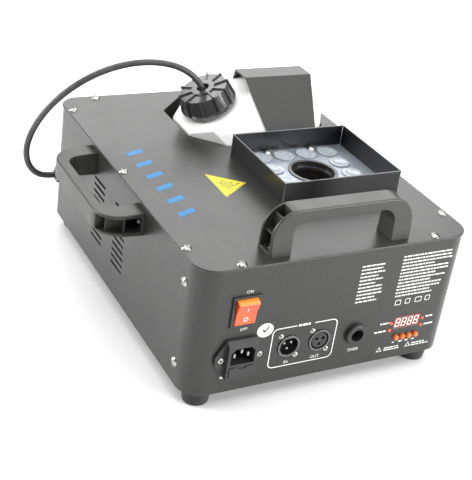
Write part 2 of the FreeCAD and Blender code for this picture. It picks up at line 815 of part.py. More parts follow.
# ---------------------------------------------------------------- control panel pieces
def make_switch_frame():
    hw, hh = switch_w / 2, switch_h / 2
    rim = block(switch_x - hw, switch_x + hw, panel_y - switch_rim_t, panel_y, switch_z - hh, switch_z + hh)
    bw, bh = body_half(switch_w) - 0.2, body_half(switch_h) - 0.2
    body = block(switch_x - bw, switch_x + bw, panel_y, panel_y + switch_depth, switch_z - bh, switch_z + bh)
    tabs = [block(switch_x - 3, switch_x + 3, panel_y + switch_depth, panel_y + switch_depth + 8,
                  switch_z + dz - 0.4, switch_z + dz + 0.4) for dz in (-9, 0, 9)]
    frame = join([rim, body] + tabs)
    ow = rocker_w / 2 + rocker_gap
    bowl = rod(rocker_r + rocker_gap, rocker_pivot() - X * ow, X, 2 * ow)
    pin_reach = ow + rocker_pin_len + rocker_gap
    pins = rod(rocker_pin_r + pin_gap, rocker_pivot() - X * pin_reach, X, 2 * pin_reach)
    return frame.cut(bowl).cut(pins)


def rocker_pivot():
    return V(switch_x, panel_y + rocker_pivot_in, switch_z)


def make_switch_rocker():
    p = rocker_pivot()
    x0 = switch_x - rocker_w / 2
    disc = rod(rocker_r, V(x0, p.y, p.z), X, rocker_w)
    face = [(-rocker_face_end, rocker_r), (-rocker_face_mid, 0), (-rocker_face_end, -rocker_r),
            (rocker_back, -rocker_r), (rocker_back, rocker_r)]
    wedge = prism([V(x0, p.y + fy, p.z + fz) for fy, fz in face], V(rocker_w, 0, 0))
    body = disc.common(wedge)
    crests = [e for e in body.Edges if e.CenterOfMass.y < p.y - rocker_face_mid - 0.5
              and abs(e.tangentAt(e.FirstParameter).x) > 0.9]
    body = body.makeFillet(0.8, crests)
    pin = rod(rocker_pin_r, p - X * (rocker_w / 2 + rocker_gap + rocker_pin_len), X,
              rocker_w + 2 * (rocker_gap + rocker_pin_len))
    body = join([body, pin])
    body.rotate(p, X, rocker_tilt)
    return body


def hex_flange(thickness):
    hw, hh = inlet_flange_w / 2, inlet_h / 2 - 0.5
    shoulder = inlet_w / 2 + 0.5
    tip = 4.0
    plan = [(-hw, -tip), (-hw, tip), (-shoulder, hh), (shoulder, hh),
            (hw, tip), (hw, -tip), (shoulder, -hh), (-shoulder, -hh)]
    return prism([V(inlet_x + px, panel_y, inlet_z + pz) for px, pz in plan], V(0, -thickness, 0))


def make_power_inlet():
    hw, hh = inlet_w / 2, inlet_h / 2
    raised = block(inlet_x - hw, inlet_x + hw, panel_y - inlet_raise, panel_y, inlet_z - hh, inlet_z + hh)
    front_top = [e for e in raised.Edges if abs(e.CenterOfMass.y - (panel_y - inlet_raise)) < 0.01
                 and e.CenterOfMass.z > inlet_z + hh - 0.01]
    raised = raised.makeChamfer(inlet_bevel, front_top)
    bw, bh = body_half(inlet_w) - 0.2, body_half(inlet_h) - 0.2
    body = block(inlet_x - bw, inlet_x + bw, panel_y, panel_y + inlet_depth, inlet_z - bh, inlet_z + bh)
    inlet = join([hex_flange(inlet_flange_t), raised, body])
    sw, sh = socket_w / 2, socket_h / 2
    sz = inlet_z + socket_dz
    cut = 4.5
    mouth = [(-sw, -sh), (sw, -sh), (sw, sh - cut), (sw - cut, sh), (-sw + cut, sh), (-sw, sh - cut)]
    socket = prism([V(inlet_x + px, panel_y - inlet_raise - 1, sz + pz) for px, pz in mouth],
                   V(0, socket_depth + 1, 0))
    dw, dh = drawer_w / 2 + drawer_gap, drawer_h / 2 + drawer_gap
    dz = inlet_z + drawer_dz
    slot = block(inlet_x - dw, inlet_x + dw, panel_y - inlet_raise - 1,
                 panel_y - inlet_raise + drawer_depth + drawer_gap, dz - dh, dz + dh)
    holes = [rod(m3_r + hole_gap, V(inlet_x + s * inlet_screw_dx, panel_y - 5, inlet_z), Y, 8) for s in (-1, 1)]
    return cut_all(inlet, [socket, slot] + holes)


def inlet_pin_places():
    sz = inlet_z + socket_dz
    return [(inlet_x - blade_dx, sz - line_drop), (inlet_x, sz + earth_rise), (inlet_x + blade_dx, sz - line_drop)]


def make_inlet_pins():
    """Blades standing on the floor of the socket, and their solder tags behind the body."""
    tip, floor = panel_y - inlet_raise + 3.0, panel_y - inlet_raise + socket_depth
    back = panel_y + inlet_depth
    hw, hh = blade_w / 2, blade_h / 2
    pins = []
    for px, pz in inlet_pin_places():
        pins.append(block(px - hw, px + hw, tip, floor, pz - hh, pz + hh))
        pins.append(block(px - hw / 2, px + hw / 2, back, back + 7.0, pz - hh, pz + hh))
    return group(pins)


def make_fuse_drawer():
    hw, hh = drawer_w / 2, drawer_h / 2
    z = inlet_z + drawer_dz
    front = panel_y - inlet_raise - drawer_proud
    body = block(inlet_x - hw, inlet_x + hw, front, front + drawer_depth, z - hh, z + hh)
    tray = block(inlet_x - hw + 1.2, inlet_x + hw - 1.2, front + 4.0, front + drawer_depth - 1.2, z - hh + 1.2, z + hh + 1)
    notch = block(inlet_x - 5, inlet_x + 5, front - 1, front + 1.2, z + hh - 2.0, z + hh + 1)
    return cut_all(body, [tray, notch])


def make_fuse_link():
    """Glass fuse lying across the drawer, with its two end caps."""
    z = inlet_z + drawer_dz - drawer_h / 2 + 1.2 + 2.6
    y = panel_y - inlet_raise - drawer_proud + 12.0
    glass = rod(2.4, V(inlet_x - 10, y, z), X, 20)
    caps = [rod(2.6, V(inlet_x + s, y, z), X, 5) for s in (-10.2, 5.2)]
    return join([glass] + caps)


def xlr_plate(cx):
    hw, hh = xlr_plate_w / 2, xlr_plate_h / 2
    y0 = panel_in + 0.05
    plate = block(cx - hw, cx + hw, y0, y0 + 2.0, xlr_z - hh, xlr_z + hh)
    ring = rod(xlr_ring_r, V(cx, panel_y - xlr_proud, xlr_z), Y, xlr_depth)
    holes = [rod(m3_r + hole_gap, V(px, y0 - 1, pz), Y, 6) for px, pz in panel_screw_places()[2:]]
    return cut_all(join([plate, ring]), holes)


def make_xlr_in_shell():
    shell = xlr_plate(xlr_in_x)
    front = V(xlr_in_x, panel_y - xlr_proud - 1, xlr_z)
    shell = shell.cut(rod(xlr_ring_r - xlr_ring_wall, front, Y, xlr_cup_depth))
    key = block(xlr_in_x - 1.5, xlr_in_x + 1.5, panel_y - xlr_proud, panel_y + 12, xlr_z + 8.7, xlr_z + 10.2)
    return join([shell, key])


def xlr_pin_places(cx):
    r = 4.2
    return [(cx + r * math.cos(a), xlr_z + r * math.sin(a)) for a in map(math.radians, (150, 30, 270))]


def make_xlr_in_pins():
    """Round pins standing on the floor of the cup, and their tails behind the shell."""
    tip, floor = panel_y + 1.5, panel_y - xlr_proud - 1 + xlr_cup_depth
    back = panel_y - xlr_proud + xlr_depth
    pins = []
    for px, pz in xlr_pin_places(xlr_in_x):
        pin = rod(1.25, V(px, tip, pz), Y, floor - tip)
        pins.append(pin.makeFillet(0.6, [e for e in pin.Edges if abs(e.CenterOfMass.y - tip) < 0.01]))
        pins.append(rod(0.9, V(px, back, pz), Y, 4.0))
    return group(pins)


def make_xlr_out_shell():
    shell = xlr_plate(xlr_out_x)
    front = V(xlr_out_x, panel_y - xlr_proud - 1, xlr_z)
    return shell.cut(rod(xlr_ring_r - xlr_ring_wall, front, Y, xlr_cup_depth))


def make_xlr_out_insert():
    start = V(xlr_out_x, panel_y - 0.6, xlr_z)
    insert = rod(xlr_insert_r, start, Y, xlr_cup_depth - xlr_proud - 1 + 0.6)
    return cut_all(insert, [rod(1.7, V(px, panel_y - 2, pz), Y, 12) for px, pz in xlr_pin_places(xlr_out_x)])


def make_timer_socket():
    c = V(timer_x, panel_y, timer_z)
    bezel = rod(timer_bezel_r, c - Y * timer_bezel_h, Y, timer_bezel_h)
    front = [e for e in bezel.Edges if abs(e.CenterOfMass.y - (panel_y - timer_bezel_h)) < 0.01]
    bezel = bezel.makeFillet(1.5, front)
    body = rod(timer_body_r, c, Y, timer_depth)
    mouth = rod(timer_hole_r, c - Y * (timer_bezel_h + 1), Y, timer_hole_depth + 1)
    return join([bezel, body]).cut(mouth).cut(rod(timer_insert_r, timer_insert_front(), Y, timer_insert_t))


def timer_insert_front():
    return V(timer_x, panel_y - timer_bezel_h + timer_hole_depth, timer_z)


def make_timer_insert():
    c = timer_insert_front()
    disc = rod(timer_insert_r - 0.05, c, Y, timer_insert_t)
    holes = []
    for a in (0, 45, 90, 135, 180):
        t = math.radians(a)
        holes.append(rod(0.9, c + V(4.3 * math.cos(t), -1, 4.3 * math.sin(t)), Y, 3.5))
    return cut_all(disc, holes)


def make_display():
    """Display module: its face sits in the panel window."""
    hw, hh = display_w / 2, display_h / 2
    return block(display_x - hw, display_x + hw, panel_y - 0.3, panel_in + panel_board_in, display_z - hh, display_z + hh)


def make_status_leds():
    leds = []
    for px, pz in led_places():
        bulb = join([rod(led_r, V(px, panel_y - 0.4, pz), Y, panel_board_in + sheet + 0.4),
                     Part.makeSphere(led_r, V(px, panel_y - 0.4, pz))])
        leds.append(bulb)
    return group(leds)


def make_button(i):
    x = button_x + i * button_pitch
    cap = rod(button_r, V(x, panel_y - button_proud, button_z), Y, button_proud + sheet + 1.0)
    front = [e for e in cap.Edges if abs(e.CenterOfMass.y - (panel_y - button_proud)) < 0.01]
    cap = cap.makeFillet(0.8, front)
    rim = rod(button_r + button_rim, V(x, panel_in + 0.3, button_z), Y, 1.0)
    stem_end = panel_in + panel_board_in - 3.6 - button_travel - 0.2
    stem = rod(1.6, V(x, panel_in, button_z), Y, stem_end - panel_in)
    return join([cap, rim, stem])


def make_button_switches():
    y1 = panel_in + panel_board_in
    return group([block(button_x + i * button_pitch - 3, button_x + i * button_pitch + 3, y1 - 3.6, y1,
                        button_z - 3, button_z + 3) for i in range(len(button_names))])


def make_panel_board():
    y0 = panel_in + panel_board_in
    return block(60, 124, y0, y0 + board_t, button_z - 7, display_z + 12)


# ---------------------------------------------------------------- works inside
def heater_box(w, z0, z1):
    return block(lamp_x - w / 2, lamp_x + w / 2, lamp_y - w / 2, lamp_y + w / 2, z0, z1)


heater_z = jacket_z + jacket_t
stub_z = heater_z + 16.0
stub_x = lamp_x - jacket_w / 2 - 4.5


def make_heater_block():
    body = heater_box(heater_w, heater_z, heater_z + heater_h)
    body = body.cut(rod(riser_bore, V(lamp_x, lamp_y, heater_z + 20), Z, heater_h))
    stub = rod(inlet_stub_r, V(stub_x, lamp_y, stub_z), X, lamp_x - heater_w / 2 - stub_x)
    lugs = [rod(3.0, V(lamp_x + s * 14, lamp_y + heater_w / 2, stub_z), Y, 7.0) for s in (-1, 1)]
    return join([body, stub] + lugs).cut(rod(1.5, V(stub_x - 1, lamp_y, stub_z), X, 40))


def make_heater_jacket():
    shell = heater_box(jacket_w, jacket_z, jacket_z + jacket_h)
    shell = shell.cut(heater_box(jacket_w - 2 * jacket_t, heater_z, jacket_z + jacket_h - jacket_t))
    holes = [rod(riser_r + 2.5, V(lamp_x, lamp_y, heater_z + heater_h), Z, 60),
             rod(inlet_stub_r + 0.4, V(stub_x - 2, lamp_y, stub_z), X, 20)]
    return cut_all(shell, holes)


def make_inner_supports():
    """Two rails under the heater jacket and two blocks under the pump, on the floor of the tray."""
    z0 = floor_z + sheet
    rails = []
    for s in (-1, 1):
        y = lamp_y + s * (jacket_w / 2 - 12)
        rail = block(lamp_x - jacket_w / 2 - 8, lamp_x + jacket_w / 2 + 8, y - 6, y + 6, z0, jacket_z)
        rails.append(rail.cut(block(-half_w, half_w, y - 4.5, y + 4.5, z0 + sheet, jacket_z - sheet)))
    for y in (pump_y0 + 12, pump_y0 + pump_len - 24):
        rails.append(block(pump_x - 16, pump_x + 16, y, y + 8, z0, pump_z - pump_w / 2))
    return group(rails)


def make_thermostat():
    at = V(lamp_x + 18, lamp_y, heater_z + heater_h)
    body = join([rod(7.5, at, Z, 5.0), block(at.x - 5, at.x + 5, at.y - 2, at.y + 2, at.z + 4, at.z + 8)])
    return body


def make_fog_nozzle():
    z0 = heater_z + heater_h
    pipe = rod(riser_r, V(lamp_x, lamp_y, z0), Z, riser_top - z0)
    head = Part.makeCone(9.0, 7.0, 8.0, V(lamp_x, lamp_y, riser_top - 8.0), Z)
    return join([pipe, head]).cut(rod(riser_bore, V(lamp_x, lamp_y, z0 - 1), Z, riser_top))


def make_pump_body():
    y0, y1 = pump_y0, pump_y0 + pump_len
    h = pump_w / 2
    coil = block(pump_x - h, pump_x + h, y0 + 10, y1 - 14, pump_z - h, pump_z + h)
    barrel = rod(11.0, V(pump_x, y0, pump_z), Y, pump_len)
    spigots = [rod(tube_r - 0.4, V(pump_x, y0 - 8, pump_z), Y, 9), rod(tube_r - 0.4, V(pump_x, y1 - 1, pump_z), Y, 9)]
    body = join([coil, barrel] + spigots)
    bore = rod(piston_r + 0.08, V(pump_x, y0 + 9, pump_z), Y, pump_len - 18)
    ports = rod(1.4, V(pump_x, y0 - 9, pump_z), Y, pump_len + 18)
    return body.cut(bore).cut(ports)


def make_pump_piston():
    mid = pump_y0 + pump_len / 2
    return pipe_ring(piston_r, 2.0, V(pump_x, mid - piston_len / 2, pump_z), Y, piston_len)


def fan_face():
    return half_w - sheet - sheet_gap


def make_fan_frame():
    x1 = fan_face()
    x0 = x1 - fan_t
    h = fan_size / 2
    frame = block(x0, x1, fan_y - h, fan_y + h, fan_z - h, fan_z + h)
    frame = frame.cut(rod(fan_bore_r, V(x0 - 1, fan_y, fan_z), X, fan_t + 2))
    frame = cut_all(frame, [rod(2.2, V(x0 - 1, fan_y + sy * (h - 5), fan_z + sz * (h - 5)), X, fan_t + 2)
                            for sy in (-1, 1) for sz in (-1, 1)])
    hub = rod(fan_hub_r, V(x0, fan_y, fan_z), X, 3.0)
    arms = []
    for i in range(3):
        arm = block(x0, x0 + 2.5, fan_y - 2, fan_y + 2, fan_z, fan_z + fan_bore_r + 0.8)
        arm.rotate(V(x0, fan_y, fan_z), X, 120 * i + 60)
        arms.append(arm)
    return join([frame, hub] + arms).cut(rod(fan_shaft_r + pin_gap, V(x0 - 1, fan_y, fan_z), X, 5))


def make_fan_rotor():
    x0 = fan_face() - fan_t + 3.6
    depth = fan_t - 4.6
    hub = join([rod(fan_hub_r, V(x0, fan_y, fan_z), X, depth), rod(fan_shaft_r, V(x0 - 3.2, fan_y, fan_z), X, 4.0)])
    blades = []
    for i in range(fan_blades):
        blade = block(x0 + depth / 2 - 1, x0 + depth / 2 + 1, fan_y - 5.5, fan_y + 5.5,
                      fan_z + fan_hub_r - 2, fan_z + fan_blade_r - 1.5)
        blade.rotate(V(x0 + depth / 2, fan_y, fan_z), Z, 32)
        blade.rotate(V(x0, fan_y, fan_z), X, 360.0 / fan_blades * i)
        blades.append(blade)
    return join([hub] + blades)


def make_main_board():
    x0, x1, y0, y1 = main_board
    return block(x0, x1, y0, y1, main_board_z, main_board_z + board_t)


def board_post_places():
    x0, x1, y0, y1 = main_board
    return [(x, y) for x in (x0 + 6, x1 - 6) for y in (y0 + 6, y1 - 6)]


def make_board_parts():
    """Transformer, relay, terminal blocks, heat sinks and capacitors on the main board."""
    z = main_board_z + board_t
    parts = [block(-122, -103, -142, -127, z, z + 16), block(-96, -66, -144, -134, z, z + 12),
             block(-60, -36, -144, -126, z, z + 14), block(-58, -40, -100, -96, z, z + 28),
             block(-58, -40, -84, -80, z, z + 28)]
    capacitors = ((8, -45, -64, 25), (5, -62, -66, 14), (5, -75, -66, 14))
    parts += [rod(r, V(px, py, z), Z, h) for r, px, py, h in capacitors]
    parts.append(join([block(-122, -86, -115, -75, z, z + 34), block(-114, -94, -120, -70, z + 6, z + 30)]))
    return group(parts)


def make_board_posts():
    z0 = floor_z + sheet
    posts = [rod(3.0, V(px, py, z0), Z, main_board_z - z0) for px, py in board_post_places()]
    posts += [rod(2.5, V(px, panel_in, pz), Y, panel_board_in)
              for px in (64, 120) for pz in (button_z - 3, display_z + 8.5)]
    posts += [rod(3.0, V(lamp_x + s * 50, lamp_y, lamp_board_top), Z, plate_z - lamp_board_top) for s in (-1, 1)]
    return group(posts)


def make_rubber_feet():
    feet = []
    for sx in (-1, 1):
        for sy in (-1, 1):
            at = V(sx * foot_x, sy * foot_y, 0)
            foot = Part.makeCone(foot_base_r, foot_top_r, foot_h, at, Z)
            foot = foot.makeFillet(1.5, [e for e in foot.Edges if abs(e.CenterOfMass.z) < 0.01])
            foot = foot.cut(rod(m5_head_r + 0.6, at - Z, Z, 9.0))
            feet.append(foot.cut(rod(m5_r + hole_gap, at, Z, foot_h + 1)))
    return group(feet)


# ---------------------------------------------------------------- screws
def m5(seat, outward, length=8.0):
    return pan_screw(seat, outward, m5_head_r, m5_head_h, m5_r, length)


def make_case_screws():
    """Nickel screws of the cover, the sides, the tank bracket and the feet."""
    screws = [m5(V(px, py, case_top), Z) for px, py in cover_screw_places()]
    screws += [m5(V(s * half_w, side_screw_y, z), X * s) for s in (-1, 1) for z in side_screw_zs]
    screws += [m5(V(px, py, case_top + strap_t), Z, 7.0) for px, py in bracket_screw_places()]
    screws += [m5(V(sx * foot_x, sy * foot_y, 8.0), Z * -1, 15.0) for sx in (-1, 1) for sy in (-1, 1)]
    return group(screws)


def make_lamp_screws():
    return group([m5(V(px, py, plate_top), Z) for px, py in lamp_screw_places()])


def make_handle_screws():
    screws = [pan_screw(V(px, py, case_top + 3.0), Z, m6_head_r, m6_head_h, m6_r, 13.0)
              for px, py in top_handle_screw_places()]
    screws += [pan_screw(V(left_x - 3.0, y, side_handle_z), X * -1, m6_head_r, m6_head_h, m6_r, 13.0)
               for y in side_handle_screw_ys()]
    return group(screws)


def make_panel_screws():
    """Hollow rivets through the inlet's flange, and cross-head screws beside the two signal sockets."""
    rivets = []
    for px, pz in panel_screw_places()[:2]:
        face = panel_y - inlet_flange_t
        head = rod(m3_head_r, V(px, face - rivet_head_h, pz), Y, rivet_head_h)
        top = [e for e in head.Edges if abs(e.CenterOfMass.y - (face - rivet_head_h)) < 0.01]
        head = head.makeFillet(0.7, top)
        stem = rod(m3_r, V(px, face, pz), Y, 7.0)
        rivets.append(join([head, stem]).cut(rod(rivet_hole_r, V(px, face - 3, pz), Y, 12)))
    screws = [pan_screw(V(px, panel_y, pz), Y * -1, m3_head_r, m3_head_h, m3_r, 6.0)
              for px, pz in panel_screw_places()[2:]]
    return group(rivets + screws)


# ---------------------------------------------------------------- hose and tubes
def make_hose_fitting():
    c = V(left_x, fitting_y, fitting_z)
    flange = rod(fitting_flange_r, c - X * fitting_flange_t, X, fitting_flange_t)
    r = fitting_hex / 2 / math.cos(math.radians(30))
    start = c - X * (fitting_flange_t + fitting_hex_t)
    turns = [math.radians(60 * i) for i in range(6)]
    corners = [start + V(0, r * math.cos(turn), r * math.sin(turn)) for turn in turns]
    hexagon = prism(corners, X * fitting_hex_t)
    nose = rod(hose_r + 1.6, V(fitting_face, fitting_y, fitting_z), X, fitting_nose)
    stem = rod(fitting_stem_r(), c, X, fitting_in)
    nut = rod(fitting_stem_r() + 3.5, c + X * (sheet + 0.05), X, 4.0)
    return join([flange, hexagon, nose, stem, nut]).cut(rod(1.5, V(fitting_face - 1, fitting_y, fitting_z), X, 60))


def hose_points():
    """Route of the supply hose: up out of the cap, over to the left and down to the fitting."""
    route = [dip_line(8.0), dip_line(33.0), V(-39, 104.5, 217.5), V(-63, 111, 223), V(-91, 117.5, 221.5),
             V(-121, 125, 211.5), V(-149, 132.5, 193.5), V(-172, 140, 169.5), V(-187, 147.5, 142),
             V(-193, 154.5, 115), V(-189.8, 159, 93.6), V(-181.2, 160.6, 79.6)]
    return route + [V(fitting_face - 12, fitting_y, fitting_z), V(fitting_face, fitting_y, fitting_z)]


def make_supply_hose():
    return tube_along(hose_points(), hose_r, "supply_hose")


def make_feed_tube():
    start = left_x + fitting_in
    points = [V(start, fitting_y, fitting_z), V(start + 21, fitting_y, fitting_z), V(pump_x - 3, 160, fitting_z - 15),
              V(pump_x, 150, pump_z), V(pump_x, pump_y0 + pump_len + 8, pump_z)]
    return tube_along(points, tube_r, "feed_tube")


def make_delivery_tube():
    points = [V(pump_x, pump_y0 - 8, pump_z), V(pump_x, 22, pump_z), V(pump_x + 14, -12, pump_z),
              V(-50, lamp_y, stub_z), V(stub_x, lamp_y, stub_z)]
    return tube_along(points, tube_r, "delivery_tube")


# ---------------------------------------------------------------- build and write
makers = {
    "base_tray": make_base_tray, "body_shell": make_body_shell, "front_panel": make_front_panel,
    "top_cover": make_top_cover, "tank_well": make_tank_well, "tank_pad": make_tank_pad,
    "tank_bracket": make_tank_bracket, "fluid_tank": make_fluid_tank, "tank_cap": make_tank_cap,
    "cap_seal": make_cap_seal, "dip_tube": make_dip_tube, "dip_filter": make_dip_filter,
    "lamp_shroud": make_lamp_shroud, "lens_plate": make_lens_plate, "led_lenses": make_led_lenses,
    "led_board": make_led_board, "nozzle_sleeve": make_nozzle_sleeve, "fog_nozzle": make_fog_nozzle,
    "heater_block": make_heater_block, "heater_jacket": make_heater_jacket,
    "inner_supports": make_inner_supports, "thermostat": make_thermostat,
    "pump_body": make_pump_body, "pump_piston": make_pump_piston,
    "feed_tube": make_feed_tube, "delivery_tube": make_delivery_tube,
    "fan_frame": make_fan_frame, "fan_rotor": make_fan_rotor,
    "main_board": make_main_board, "board_parts": make_board_parts,
    "board_posts": make_board_posts, "panel_board": make_panel_board, "display": make_display,
    "status_leds": make_status_leds, "button_switches": make_button_switches,
    "switch_frame": make_switch_frame, "switch_rocker": make_switch_rocker,
    "power_inlet": make_power_inlet, "inlet_pins": make_inlet_pins,
    "fuse_drawer": make_fuse_drawer, "fuse_link": make_fuse_link,
    "xlr_in_shell": make_xlr_in_shell, "xlr_in_pins": make_xlr_in_pins,
    "xlr_out_shell": make_xlr_out_shell, "xlr_out_insert": make_xlr_out_insert,
    "timer_socket": make_timer_socket, "timer_insert": make_timer_insert, "panel_screws": make_panel_screws,
    "case_screws": make_case_screws, "lamp_screws": make_lamp_screws, "handle_screws": make_handle_screws,
    "rubber_feet": make_rubber_feet,
    "top_handle": make_top_handle, "side_handle": make_side_handle,
    "hose_fitting": make_hose_fitting, "supply_hose": make_supply_hose,
}
for name, maker in makers.items():
    nodes[name] = maker()
for i, name in enumerate(button_names):
    nodes["button_" + name] = make_button(i)

# The frame's origin is the bottom centre of the whole object, the hose left aside.
whole = Part.makeCompound([shape for name, shape in nodes.items() if name != "supply_hose"])
whole_box = whole.optimalBoundingBox(False)
origin_shift = V(-whole_box.Center.x, -whole_box.Center.y, -whole_box.ZMin)
print("origin shift", [round(v, 3) for v in origin_shift])

os.makedirs("parts", exist_ok=True)
for name, shape in nodes.items():
    shape.translate(origin_shift)
    shape.exportStep("parts/" + name + ".step")
print(len(nodes), "nodes written")
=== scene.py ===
import math
import bpy
import bmesh
from mathutils import Matrix, Vector


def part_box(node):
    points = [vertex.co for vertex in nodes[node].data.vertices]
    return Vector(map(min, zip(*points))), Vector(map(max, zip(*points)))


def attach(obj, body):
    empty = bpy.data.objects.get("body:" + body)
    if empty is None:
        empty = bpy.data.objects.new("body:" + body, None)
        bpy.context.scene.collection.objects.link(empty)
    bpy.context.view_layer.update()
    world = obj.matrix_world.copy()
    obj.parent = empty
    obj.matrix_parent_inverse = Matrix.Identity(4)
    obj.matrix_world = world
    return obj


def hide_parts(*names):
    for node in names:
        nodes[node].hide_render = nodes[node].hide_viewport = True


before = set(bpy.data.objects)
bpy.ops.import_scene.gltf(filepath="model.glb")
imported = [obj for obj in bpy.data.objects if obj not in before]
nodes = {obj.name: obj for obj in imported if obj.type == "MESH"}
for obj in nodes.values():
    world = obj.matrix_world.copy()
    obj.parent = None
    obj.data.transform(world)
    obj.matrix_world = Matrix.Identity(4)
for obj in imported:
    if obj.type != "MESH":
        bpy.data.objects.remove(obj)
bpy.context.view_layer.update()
BODY = "machine"

# The case frame: millimetres, x and y from the middle of the top cover, z from the floor.
PLAN = (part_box("top_cover")[0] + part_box("top_cover")[1]) / 2
COVER_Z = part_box("top_cover")[1].z
CASE_DEPTH = 0.38
PANEL_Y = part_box("body_shell")[1].y - CASE_DEPTH

RIGHT, BACK, UP = Vector((1, 0, 0)), Vector((0, 1, 0)), Vector((0, 0, 1))


def at(x, y, z):
    """A point of the case frame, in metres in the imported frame."""
    return Vector((PLAN.x + x / 1000, PLAN.y + y / 1000, z / 1000))


# ---------------------------------------------------------------- camera
AZIMUTH, ELEVATION, ROLL = -31.753, 27.686, 9.043   # degrees
CAMERA_DISTANCE = 1.16443
AIM_RIGHT, AIM_TOP = 0.01326, 0.01504   # the aim's distance from the middle of the case
IMAGE_SIDE = 480                        # pixels of the image's long side
IMAGE_MIDDLE = (236, 240)
LENS_MIDDLE = (253.9, 212.2)            # where the lens axis meets the image
LENS_PIXELS = 1077.86


def make_camera():
    """A long lens at the photograph's viewing angle, rolled a little."""
    azimuth, elevation, roll = (math.radians(angle) for angle in (AZIMUTH, ELEVATION, ROLL))
    look = Vector((-math.sin(azimuth) * math.cos(elevation),
                   math.cos(azimuth) * math.cos(elevation),
                   -math.sin(elevation)))
    level = Vector((math.cos(azimuth), math.sin(azimuth), 0))
    up = level.cross(look)
    right = level * math.cos(roll) + up * math.sin(roll)
    top = up * math.cos(roll) - level * math.sin(roll)
    target = at(0, 0, 75) + right * AIM_RIGHT + top * AIM_TOP
    data = bpy.data.cameras.new("camera")
    data.lens = LENS_PIXELS / IMAGE_SIDE * data.sensor_width
    data.shift_x = (IMAGE_MIDDLE[0] - LENS_MIDDLE[0]) / IMAGE_SIDE
    data.shift_y = (LENS_MIDDLE[1] - IMAGE_MIDDLE[1]) / IMAGE_SIDE
    data.clip_start = 0.05
    camera = bpy.data.objects.new("camera", data)
    bpy.context.scene.collection.objects.link(camera)
    basis = Matrix((right, top, -look)).transposed().to_4x4()
    camera.matrix_world = Matrix.Translation(target - look * CAMERA_DISTANCE) @ basis
    bpy.context.scene.camera = camera


# ---------------------------------------------------------------- node helpers
def scaled(tone, factor, lift=0.0):
    return tuple(min(1, c * factor + lift) for c in tone)


